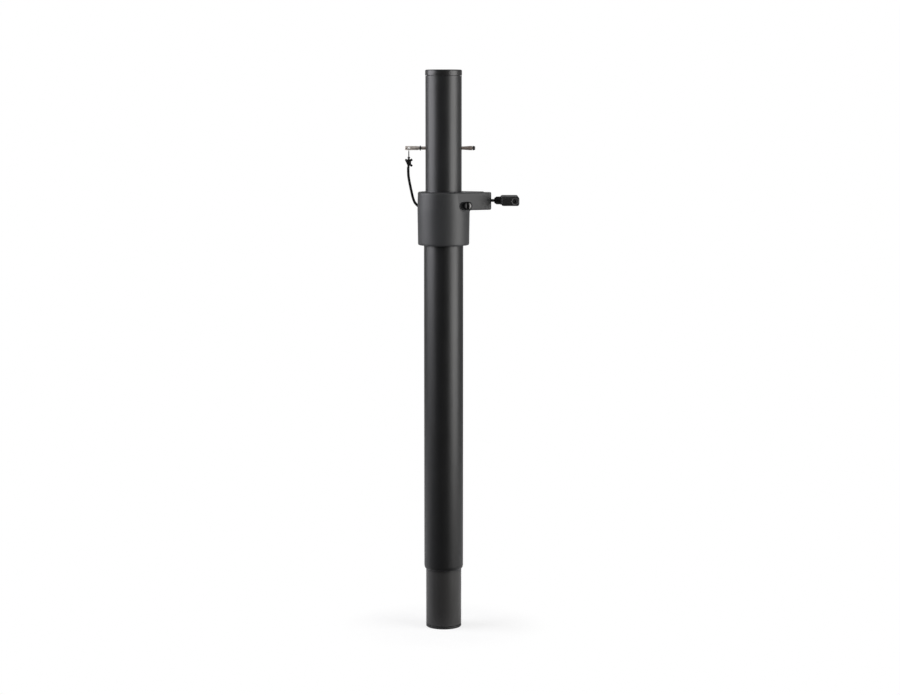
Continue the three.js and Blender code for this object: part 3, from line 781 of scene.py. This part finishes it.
def boreTools():  # the hole for the tubes and the bush, narrower at the lip, with a chamfer at either end
    size = collar
    low, high, bore, lipBore = size["low"], size["high"], size["bore"], size["lipBore"]
    lip, flare, lipFlare = high - size["lip"], bore + 0.9, lipBore + 0.7
    lower = [(0, low - 5), (flare, low - 5), (flare, low), (bore, low + 0.9), (bore, lip), (0, lip)]
    upper = [(0, lip - 2), (lipBore, lip - 2), (lipBore, high - 0.7), (lipFlare, high), (lipFlare, high + 3)]
    return [lathe("bore", lower), lathe("lip", [*upper, (0, high + 3)])]


def boltTools():  # the bolt's hole, its pocket that runs out to the left, and the eyelet's pocket and channel
    size = collar
    x, z = places["boltX"], places["boltZ"]
    far, seat, pocket, left = 40, size["seat"], size["pocket"], x - size["pocketRun"]
    channel = (x - size["channel"], x + size["channel"])
    return [
        rod("boltHole", size["boltHole"], -30, 30, upY, (x, 0, z)),
        rod("pocket", pocket, -far, -seat, upY, (x, 0, z)),
        rod("pocketLeft", pocket, -far, -seat, upY, (left, 0, z)),
        box("pocketBetween", (left, x), (-far, -seat), (z - pocket, z + pocket)),
        rod("eyeletPocket", size["eyeletPocket"], seat, far, upY, (x, 0, z)),
        box("eyeletChannel", channel, (seat, far), (size["channelLow"], z)),
    ]


def clampTools():
    size = collar
    return [
        box("recess", *size["recess"]),
        rod("screwHole", size["screwHole"], 15, 60, upX, (0, 0, places["clampZ"])),
        box("nutSlot", *size["nutSlot"]),
        box("armStep", size["step"], (-15, 15), (size["high"] - size["stepDepth"], size["high"] + 3)),
    ]


def setScrewTools():
    size = setScrew
    hole, rim, start, end, far = size["hole"], size["rim"], size["rimStart"], size["rimEnd"], 28
    flare = [(0, start), (hole, start), (rim, end), (rim, far), (0, far)]
    at = (0, 0, size["z"])
    for turn in size["turns"].values():
        spin = Matrix.Rotation(radians(turn), 4, "Z") @ upX
        yield rod("setScrewHole", hole, size["holeStart"], 40, spin, at)
        yield lathe("setScrewRim", flare, spin, at, 32)


def addCollar():
    size = collar
    low, high = size["low"], size["high"]
    corners = [(0, low), (size["foot"], low, 1.5), (size["wide"], size["armLow"], 12)]
    corners += [(size["top"], high, 1.5), (0, high)]
    piece = lathe("collarHousing", corners)
    arm = slab("arm", armOutline(0), size["armLow"], high, bevel=size["armRounding"], rims=True)
    worked(piece, [arm, underArmFillet()], "UNION")
    worked(piece, [*boreTools(), *clampTools(), *boltTools(), *setScrewTools()])
    moulded(piece, size["voxel"], 5)
    finished(piece, "base", "collarNylon", "collar_nylon", "collar_housing", sharp=0)


addCollar()
print("collar made")

screw = {
    "radius": 2.5, "core": 2.05, "pitch": 0.8, "pilot": 1.2, "pilotTip": 18.6, "tip": 19.7, "neck": 1.4,
    "neckStart": 45.4, "shank": 50.5, "end": 65.5, "clearance": 0.3,
}


def addClampScrew():
    size = screw
    radius, start, end = size["radius"], size["tip"], size["neckStart"]
    count = int((end - start) / size["pitch"]) * (4 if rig.quick() else 10)
    corners = [(0, size["pilotTip"]), (size["pilot"], size["pilotTip"], 0.2), (size["pilot"], start - 0.01)]
    corners += [(radius, start + (end - start) * k / count) for k in range(count + 1)]
    corners += [(size["neck"], end + 0.6, 0.15), (size["neck"], size["shank"] - 0.05)]
    corners += [(radius, size["shank"]), (radius, size["end"]), (0, size["end"])]

    def thread(angle, height):  # the share of the radius that the groove leaves
        if not start - 1e-3 <= height <= end + 1e-3:
            return 1
        wave = (height / size["pitch"] - angle / tau) % 1
        depth = min(1, abs(2 * wave - 1) * 1.6)
        fade = min(1, (height - start) / size["pitch"], (end - height) / size["pitch"])
        return 1 - (1 - size["core"] / radius) * (1 - depth) * max(0, fade)

    piece = lathe("clampScrew", corners, upX, (0, 0, places["clampZ"]), 40, thread)
    finished(piece, "knob", "screwBlack", "dark_steel", "clamp_screw", sharp=40)


handle = {
    "hubStart": 48.9, "hub": 3.8, "nose": 2.2, "hubFoot": 4.15, "barStart": 55.3, "depth": 17.3, "thick": 8.8,
    "half": 23, "rounding": 2, "dish": 3, "core": 1.05, "voxel": 0.28 * mm,
}


def addHandle():
    size = handle
    clamp, half, dish = places["clampZ"], size["half"], size["dish"]
    start, bar = size["hubStart"], size["barStart"]
    heights = (clamp - size["thick"] / 2, clamp + size["thick"] / 2)
    piece = box("tHandle", (bar, bar + size["depth"]), (-half, half), heights, bevel=size["rounding"])
    ring = [(1.9, -0.7), (dish - 0.1, -0.7), (dish + 0.3, 0.6), (dish + 0.3, 2), (1.6, 2), (1.6, 0.6)]
    tools = []
    for side, spin in ((-1, downY), (1, upY)):  # a ring-shaped dish round a small hole at either end
        at = (places["dishX"], side * half, clamp)
        tools.append(lathe("dish", ring, spin, at, 64))
        tools.append(rod("core", size["core"], -2.5, 3, spin, at))
    worked(piece, tools)
    hub = [(0, start), (size["nose"], start, 0.4), (size["hub"], start + 2, 1), (size["hub"], bar - 0.9, 0.7)]
    hub += [(size["hubFoot"], bar + 0.4, 0.4), (size["hubFoot"], bar + 3), (0, bar + 3)]
    worked(piece, [lathe("hub", hub, upX, (0, 0, clamp), 64)], "UNION")
    gap = screw["clearance"]
    neck, shank = screw["neck"] + gap, screw["radius"] + gap
    first, step, last = start - 3.9, screw["shank"] - gap, screw["end"] + gap
    bore = [(0, first), (neck, first), (neck, step), (shank, step), (shank, last), (0, last)]
    worked(piece, [lathe("bore", bore, upX, (0, 0, clamp), 56)])
    moulded(piece, size["voxel"], 3)
    finished(piece, "knob", "handleNylon", "handle_nylon", "t_handle", sharp=0)


addClampScrew()
addHandle()
print("clamp made")

bolt = {"head": 3.3, "seat": -14.7, "top": -17.1, "radius": 1.7, "end": 19.4, "slot": 2.1, "slotDepth": 1.5}


def addBolt():
    size = bolt
    at = (places["boltX"], 0, places["boltZ"])
    head, seat, top, half = size["head"], size["seat"], size["top"], size["slot"] / 2
    corners = [(0, top - 0.05), (head, top + 0.15, 1.25), (head, seat, 0.25)]
    corners += [(size["radius"], seat), (size["radius"], size["end"], 0.4), (0, size["end"])]
    piece = lathe("crossBolt", corners, upY, at, 64)
    slot = rectangle((-half, half), (top - 3, top + size["slotDepth"]))
    worked(piece, [slab("slot", slot, -6, 6, at=at)])
    finished(piece, "base", "boltSteel", "dark_steel", "cross_bolt")


def hexOutline(flats):
    return [(flats / sqrt(3) * cos(tau * k / 6), flats / sqrt(3) * sin(tau * k / 6)) for k in range(6)]


nut = {"low": 15.8, "high": 18.6, "flats": 6, "corner": 3.5, "face": 3.05, "hole": 2.0, "chamfer": 0.4}


def addNut():
    size = nut
    low, high, corner, face = size["low"], size["high"], size["corner"], size["face"]
    start, end = low + size["chamfer"], high - size["chamfer"]
    hole, mouth = size["hole"], size["hole"] + 0.5
    at = (places["boltX"], 0, places["boltZ"])
    piece = slab("crossNut", hexOutline(size["flats"]), low, high, upY, at)
    dome = [(0, low), (face, low), (corner, start), (corner, end), (face, high), (0, high)]
    worked(piece, [lathe("dome", dome, upY, at, 64)], "INTERSECT")
    drill = [(0, low - 2), (mouth, low - 2), (mouth, low), (hole, start)]
    drill += [(hole, end), (mouth, high), (mouth, high + 2), (0, high + 2)]
    worked(piece, [lathe("hole", drill, upY, at, 48)])
    finished(piece, "base", "zincSteel", "zinc_steel", "cross_nut", sharp=20)


eyelet = {
    "radius": 3.8, "low": 14.7, "high": 15.5, "hole": 2, "barrel": 1.9, "barrelY": 16.4, "barrelTop": 411,
    "barrelLow": 405, "mouth": 1.4, "mouthTop": 406.5, "crimp": 0.75, "crimpZ": 406.6, "crimpPitch": 2.4,
    "tail": ((1.9, 408), (2.4, 413)), "voxel": 0.13 * mm,
}


def addEyelet():
    size = eyelet
    x, z, y = places["boltX"], places["boltZ"], size["barrelY"]
    piece = rod("tetherEyelet", size["radius"], size["low"], size["high"], upY, (x, 0, z), 64)
    (foot, footZ), (top, topZ) = size["tail"]
    neck = [(x - foot, footZ), (x + foot, footZ), (x + top, topZ), (x - top, topZ)]
    tail = slab("tail", neck, -size["high"], -size["low"], downY)
    barrel = rod("barrel", size["barrel"], size["barrelLow"], size["barrelTop"], None, (x, y, 0))
    worked(piece, [tail, barrel], "UNION")
    tools = [rod("hole", size["hole"], 5, 20, upY, (x, 0, z))]
    tools.append(rod("mouth", size["mouth"], size["barrelLow"] - 5, size["mouthTop"], None, (x, y, 0)))
    for k in range(2):  # the two crimps across the barrel
        at = (x, y + 2.3, size["crimpZ"] + size["crimpPitch"] * k)
        tools.append(rod("crimp", size["crimp"], -4, 4, upX, at, 32))
    worked(piece, tools)
    moulded(piece, size["voxel"], 2)
    finished(piece, "base", "zincSteel", "zinc_steel", "tether_eyelet", sharp=0)


def addSetScrew(side):
    size = setScrew
    start, end, radius = size["start"], size["end"], size["radius"]
    spin = Matrix.Rotation(radians(size["turns"][side]), 4, "Z") @ upX
    at = (0, 0, size["z"])
    corners = [(0, start), (radius - 0.8, start), (radius, start + 0.75)]
    corners += [(radius, end - 0.35), (radius - 0.3, end), (0, end)]
    piece = lathe("setScrew" + side.capitalize(), corners, spin, at, 48)
    worked(piece, [slab("socket", hexOutline(size["flats"]), 22, 25.4, spin, at)])
    finished(piece, "base", "darkSteel", "dark_steel", "collar_set_screw_" + side)


addBolt()
addNut()
addEyelet()
addSetScrew("right")
addSetScrew("left")
print("small metal pieces made")

pin = {
    "radius": 1.6, "head": 1.95, "headEnd": -37.2, "headStep": (-25.2, -24.6), "headStart": -23.4,
    "neck": 1.75, "groove": 1.2, "grooveEnd": -21.4, "flareStart": 19, "flareEnd": 25.8, "flare": 2.05,
    "end": 27.6, "stub": 1, "stubEnd": 29.2, "eye": -33.5, "eyeRadius": 1.05, "flat": 1.72, "flatEnd": -29.6,
}


def addPin():
    size = pin
    radius, head, neck, groove = size["radius"], size["head"], size["neck"], size["groove"]
    stepEnd, stepStart = size["headStep"]
    corners = [(0, size["headEnd"]), (head, size["headEnd"], 0.75), (head, stepEnd), (neck, stepStart)]
    corners += [(neck, size["headStart"], 0.15), (groove, size["headStart"]), (groove, size["grooveEnd"])]
    corners += [(radius, size["grooveEnd"], 0.2), (radius, size["flareStart"])]
    corners += [(size["flare"], size["flareEnd"], 3), (size["flare"], size["end"], 0.2)]
    corners += [(size["stub"], size["end"]), (size["stub"], size["stubEnd"], 0.2), (0, size["stubEnd"])]
    piece = lathe("safetyPin", corners, upX, (0, 0, places["pinZ"]), 64)
    eye, mouth, flat = size["eyeRadius"], 1.8, size["flat"]
    drill = [(0, -5), (mouth, -5), (eye, -1.55), (eye, 1.55), (mouth, 5), (0, 5)]
    tools = [lathe("ringHole", drill, upY, (size["eye"], 0, places["pinZ"]), 40)]
    for sides in ((-5, -flat), (flat, 5)):  # the head's two filed flats, which the ring lies against
        tools.append(box("flat", (-40, size["flatEnd"]), sides, (places["pinZ"] - 10, places["pinZ"] + 10)))
    worked(piece, tools)
    finished(piece, "pin", "pinSteel", "pin_steel", "safety_pin")


pinRubber = {
    "tip": [
        (1.3, 27.9), (2.05, 27.9, 0.25), (2.12, 29.2, 0.7), (1.5, 30.5, 0.6), (0, 30.5), (0, 29.5),
        (1.3, 29.5),
    ],
    "stopRing": [(2.3, -23.1, 0.4), (2.3, -21.7, 0.4), (1.5, -21.7, 0.2), (1.5, -23.1, 0.2)],
}


def addPinRubber():
    at = (0, 0, places["pinZ"])
    piece = lathe("pinTipCap", pinRubber["tip"], upX, at, 48)
    finished(piece, "pin", "capBlack", "cap_black", "pin_tip_cap")
    piece = lathe("pinStopRing", pinRubber["stopRing"], upX, at, 48)
    finished(piece, "pin", "capBlack", "cap_black", "pin_stop_ring")


def rails(points, spacing):  # an even run on a smooth curve through the points, and its length, in mm
    steps = 24
    ends = [points[0] * 2 - points[1], *points, points[-1] * 2 - points[-2]]
    fine = []
    for a, b, c, d in zip(ends, ends[1:], ends[2:], ends[3:]):
        slope, bend, turn = c - a, 2 * a - 5 * b + 4 * c - d, 3 * b - a - 3 * c + d
        for k in range(steps):
            t = k / steps
            fine.append(0.5 * (2 * b + slope * t + bend * t * t + turn * t**3))
    fine.append(points[-1].copy())
    run = [0]
    for p, q in zip(fine, fine[1:]):
        run.append(run[-1] + (q - p).length)
    count = max(2, round(run[-1] / spacing))
    even = []
    k = 0
    for i in range(count + 1):
        want = run[-1] * i / count
        while k < len(run) - 2 and run[k + 1] < want:
            k += 1
        even.append(fine[k].lerp(fine[k + 1], (want - run[k]) / max(run[k + 1] - run[k], 1e-9)))
    return even, run[-1]


def waysAlong(centres):  # the direction of a run at each of its centres
    last = len(centres) - 1
    return [(centres[min(i + 1, last)] - centres[max(i - 1, 0)]).normalized() for i in range(last + 1)]


def tube(mesh, centres, sides, section):  # section(angle, run) gives a point's two offsets, in mm
    ways = waysAlong(centres)
    side = ways[0].orthogonal().normalized()
    rings = []
    run = 0
    for i, (centre, way) in enumerate(zip(centres, ways)):
        run += (centre - centres[i - 1]).length if i else 0
        side = (side - way * side.dot(way)).normalized()
        other = way.cross(side)
        ring = []
        for k in range(sides):
            u, v = section(tau * k / sides, run)
            ring.append(mesh.verts.new((centre + side * u + other * v) * mm))
        rings.append(ring)
    for low, high in zip(rings, rings[1:]):
        bridge(mesh, low, high)
    for ring, centre, way in ((rings[0], centres[0], -ways[0]), (rings[-1], centres[-1], ways[-1])):
        bridge(mesh, ring, [mesh.verts.new((centre + way * 0.15) * mm)])


splitRing = {
    "z": 465.45, "radius": 4.7, "thick": 0.23, "tall": 0.46, "turns": 1.92, "apart": 0.25, "start": 0.4,
}


def addSplitRing():
    size = splitRing
    radius, apart, sides = size["radius"], size["apart"], 12
    count = 60 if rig.quick() else 170
    centres = []
    for k in range(count + 1):
        run = k / count * size["turns"]
        angle = size["start"] + run * tau
        shift = max(-apart, min(apart, (run - size["turns"] / 2) * 0.8))  # from one coil over to the other
        centres.append(Vector((pin["eye"] + shift, radius * sin(angle), size["z"] + radius * cos(angle))))
    mesh = bmesh.new()
    rings = []
    for i, (centre, way) in enumerate(zip(centres, waysAlong(centres))):
        outward = (centre - Vector((centre.x, 0, size["z"]))).normalized()
        across = way.cross(outward).normalized()
        taper = min(1, 0.55 + i * 0.15, 0.55 + (count - i) * 0.15)
        ring = []
        for k in range(sides):
            u, v = cos(tau * k / sides), sin(tau * k / sides)
            flat = 1 / (abs(u) ** 4 + abs(v) ** 4) ** 0.25  # the wire is flat, with rounded corners
            point = centre + outward * (u * flat * size["tall"]) + across * (v * flat * size["thick"] * taper)
            ring.append(mesh.verts.new(point * mm))
        rings.append(ring)
    for low, high in zip(rings, rings[1:]):
        bridge(mesh, low, high)
    mesh.faces.new(rings[0])
    mesh.faces.new(rings[-1])
    finished(shown("splitRing", mesh), "pin", "ringSteel", "pin_steel", "split_ring", sharp=50)


addPin()
addPinRubber()
addSplitRing()
print("pin made")

cord = {
    "radius": 1.25, "plaits": 6, "lay": 5.2, "relief": 0.07, "sides": 36,
    "spacing": 0.66 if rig.quick() else 0.22,
}

lowerRoute = [  # from the eyelet round the back of the collar to its left side
    (0.0234, 0.0164, 0.4047), (0.0233, 0.0167, 0.403), (0.0226, 0.0177, 0.4012), (0.0209, 0.0194, 0.3997),
    (0.0179, 0.0216, 0.3988), (0.0136, 0.0238, 0.3984), (0.008, 0.0259, 0.3985), (0.0016, 0.027, 0.3991),
    (-0.0049, 0.0266, 0.4004), (-0.0107, 0.0248, 0.4027), (-0.0156, 0.022, 0.4057), (-0.0195, 0.0187, 0.4088),
    (-0.0224, 0.0151, 0.4114), (-0.0245, 0.0116, 0.4134), (-0.0261, 0.0086, 0.415), (-0.0273, 0.0064, 0.4165),
    (-0.0283, 0.0047, 0.4182), (-0.0291, 0.0034, 0.4202),
]
upperRoute = [  # from there up to the knot
    (-0.02925, 0.00315, 0.4206), (-0.02975, 0.0025, 0.4224), (-0.03025, 0.002, 0.4244),
    (-0.0307, 0.00165, 0.4265), (-0.03115, 0.00135, 0.4286), (-0.0316, 0.0011, 0.4307),
    (-0.03205, 0.0009, 0.4328), (-0.0325, 0.0007, 0.435), (-0.03295, 0.00055, 0.4373),
    (-0.03335, 0.0004, 0.4396), (-0.0337, 0.0003, 0.4419), (-0.03395, 0.0002, 0.4442),
    (-0.03408, 0.0001, 0.4465), (-0.03412, 0.00005, 0.4492), (-0.03405, 0, 0.4519),
]


def braid(radius):  # strands that pass over and under each other, wound both ways
    def section(angle, run):
        turn = tau * run / cord["lay"]
        left = cord["plaits"] * angle + turn * 2
        right = cord["plaits"] * angle - turn * 2
        high = max(cos(left) * (0.62 + 0.38 * sin(right)), cos(right) * (0.62 - 0.38 * sin(left)))
        r = radius * (1 + cord["relief"] * (high - 0.45))
        return r * cos(angle), r * sin(angle)

    return section


def addCordRun(name, route, node):
    centres, length = rails([Vector(point) / mm for point in route], cord["spacing"])
    mesh = bmesh.new()
    tube(mesh, centres, cord["sides"], braid(cord["radius"]))
    piece = finished(shown(name, mesh), None, "cordBlack", "cord_black", node, sharp=0)
    return piece, [tuple(point * mm) for point in centres], length * mm


knotTie = {  # in mm, the strands' points from the knot's middle
    "middle": (-33.9, 0, 456.7), "radius": 1.08, "sides": 24, "wide": 0.62, "deep": 0.85, "tall": 0.72,
    "lead": [(0, 0, -4.8), (0.05, 0.05, -3.6)],
    "tail": [(1.6, -0.5, -2.2), (2.9, -0.4, -3.5), (3.4, -0.3, -4.1)],
    "loopRadius": 0.46,
    "loop": [
        (-0.1, 0.3, 0.4), (-0.2, 0.25, 1.9), (-0.02, 0.1, 3.05), (-0.4, 0.05, 4.15), (0.4, 0, 4.85),
        (1.2, -0.05, 4.15), (0.82, -0.1, 3.05), (0.95, -0.3, 2.2), (1.4, -0.4, 1.5), (2.6, -0.3, 1.9),
        (3.6, -0.2, 2.4),
    ],
    "rightEndRadius": 1.1,
    "rightEnd": [(0.2, 0.3, 0.4), (1.6, -0.2, 1.3), (2.8, -0.3, 1.9), (3.7, -0.2, 2.3)],
    "leftEndRadius": 1.0,
    "leftEnd": [(0, -0.3, 0.8), (-1.3, -0.4, 1.4), (-2.2, -0.2, 1.8), (-2.95, 0, 2.0)],
}


def overhand():  # most of a trefoil, as an overhand knot lies
    steps = 16
    for k in range(steps + 1):
        t = 0.35 + k / steps * (tau - 1.0)
        x, y, z = sin(t) + 2 * sin(2 * t), sin(3 * t), cos(t) - 2 * cos(2 * t)
        yield -x * knotTie["wide"], y * knotTie["deep"], z * knotTie["tall"]


def addKnot():
    size = knotTie
    strands = [([*size["lead"], *overhand(), *size["tail"]], size["radius"])]
    strands += [(size[part], size[part + "Radius"]) for part in ("loop", "rightEnd", "leftEnd")]
    middle = Vector(size["middle"])
    mesh = bmesh.new()
    for strand, radius in strands:
        centres = rails([middle + Vector(point) for point in strand], cord["spacing"])[0]
        tube(mesh, centres, size["sides"], braid(radius))
    return finished(shown("tetherKnot", mesh), "pin", "cordBlack", "cord_black", "tether_knot", sharp=0)


knot = addKnot()
lower, lowerPath, lowerLength = addCordRun("tetherCordLower", lowerRoute, "tether_cord_lower")
upper, upperPath, upperLength = addCordRun("tetherCordUpper", upperRoute, "tether_cord_upper")
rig.blend(lower, "base", "mast", start=(-0.0156, 0.022, 0.4057), end=(-0.0291, 0.0034, 0.4202))
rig.blend(upper, "mast", "pin", start=(-0.0294, 0.0029, 0.4211), end=(-0.03405, 0, 0.4515))
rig.cord(lower, exit=lowerRoute[0], length=lowerLength, diameter=0.0025, far_end="object", stiffness="limp",
        lay="loose", path=lowerPath)
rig.cord(upper, exit=upperRoute[0], length=upperLength, diameter=0.0025, far_end="knot", stiffness="limp",
        lay="hanging", path=upperPath, with_pieces=[knot])
print("cord made", round(lowerLength, 4), round(upperLength, 4))

innerFinishes = {
    "mast_foot_bush": "bushNylon", "guide_bush": "bushNylon", "brake_shoe": "bushNylon",
    "clamp_nut": "zincSteel",
}
for node, finish in innerFinishes.items():
    inner = frame["nodes"][node]
    inner.data.materials.clear()
    inner.data.materials.append(finishes[finish])
print("inner pieces finished")

lamps = {
    "left": {
        "azimuth": 83, "distance": 1.1, "height": 0.68, "width": 1.1, "tall": 0.7, "power": 18.5,
        "colour": (0.96, 0.955, 1.0),
    },
    "right": {
        "azimuth": -66, "distance": 1.1, "height": 0.47, "width": 0.92, "tall": 0.9, "power": 16.8,
        "colour": (1.0, 0.99, 0.98),
    },
    "top": {
        "azimuth": 0, "distance": 0.9, "height": 1.9, "width": 1.4, "tall": 1.4, "power": 5,
        "colour": (1, 1, 1),
    },
}
aimHeight = 0.33


def addLamp(name, size):
    lamp = bpy.data.lights.new(name, "AREA")
    lamp.shape = "RECTANGLE"
    lamp.size = size["width"]
    lamp.size_y = size["tall"]
    lamp.energy = size["power"]
    lamp.color = size["colour"]
    holder = bpy.data.objects.new(name, lamp)
    angle = radians(size["azimuth"])
    holder.location = (-sin(angle) * size["distance"], -cos(angle) * size["distance"], size["height"])
    aim = Vector((0, 0, aimHeight)) - holder.location
    holder.rotation_euler = aim.to_track_quat("-Z", "Y").to_euler()
    holder.visible_camera = False
    bpy.context.scene.collection.objects.link(holder)


paper = {
    "light": grey(0.93), "dark": grey(0.06), "grain": 30, "change": (-0.05, 0.01), "shadow": 0.25,
    "shadowReach": (0.001, 0.012), "radii": (0.15, 0.4, 0.9, 1.8, 3.0), "sides": 64,
}


def makePaper():  # the camera sees it white, but the pole mirrors it white behind and dark in front
    look = paper
    sheet = Finish("floor", {"Roughness": 0.9, "Specular IOR Level": 0.1})
    grain = sheet.noise(look["grain"], 2)
    x, y = sheet.axes()[:2]
    rays = sheet.node("LightPath", output="Is Camera Ray")
    white = rays.orMore(y.step(*look["change"]))
    sheet.set("Base Color", sheet.mix(white * 0.9 + grain * 0.1, look["dark"], look["light"]))
    near = 1 - (x * x + y * y).step(*look["shadowReach"])  # the shadow shows round the foot alone
    glow = sheet.node("Emission", {}, {"Color": grey(1.0), "Strength": 1.0})
    shaded = Term(sheet, sheet.surface.outputs[0])
    both = sheet.node("MixShader", {}, (rays * (1 - near * look["shadow"]), shaded, glow))
    sheet.feed(sheet.nodes["Material Output"].inputs["Surface"], both)
    return sheet.material


def addFloor():
    sides = paper["sides"]
    mesh = bmesh.new()
    rings = []
    for radius in paper["radii"]:
        angles = [tau * k / sides for k in range(sides)]
        rings.append([mesh.verts.new((radius * cos(angle), radius * sin(angle), 0)) for angle in angles])
    mesh.faces.new(rings[0])
    for low, high in zip(rings, rings[1:]):
        bridge(mesh, low, high)
    piece = shown("floor", mesh)
    if piece.data.polygons[0].normal.z < 0:
        piece.data.flip_normals()
    piece.data.materials.append(makePaper())
    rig.stage(piece)


surround = {"front": 0.05, "back": 0.3, "change": (-0.1, 0.5), "backdrop": (0.8, 0.99)}


def setWorld():  # white where the camera looks and behind the pole, else a dim room for the light's sake
    world = bpy.data.worlds.new("studio")
    world.use_nodes = True
    sky = Graph(world.node_tree, "Generated")
    y = sky.axes()[1]
    kinds = ("Is Camera Ray", "Is Transmission Ray", "Is Glossy Ray")
    seen, through, mirrored = [sky.node("LightPath", output=kind) for kind in kinds]
    white = seen.orMore(through).orMore(mirrored * y.step(*surround["backdrop"]))
    level = white.orMore(y.step(*surround["change"], surround["front"], surround["back"]))
    background = sky.nodes["Background"]
    sky.feed(background.inputs["Color"], (1, 1, 1, 1))
    sky.feed(background.inputs["Strength"], level)
    bpy.context.scene.world = world


for name, lamp in lamps.items():
    addLamp(name, lamp)
addFloor()
setWorld()
bpy.context.scene.view_settings.view_transform = "Standard"
print("light set")

with open("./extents.json", "w") as sizes:
    json.dump({"cad": [list(corner) for corner in cadBox], "visual": [list(corner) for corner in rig.bounds()]}, sizes)
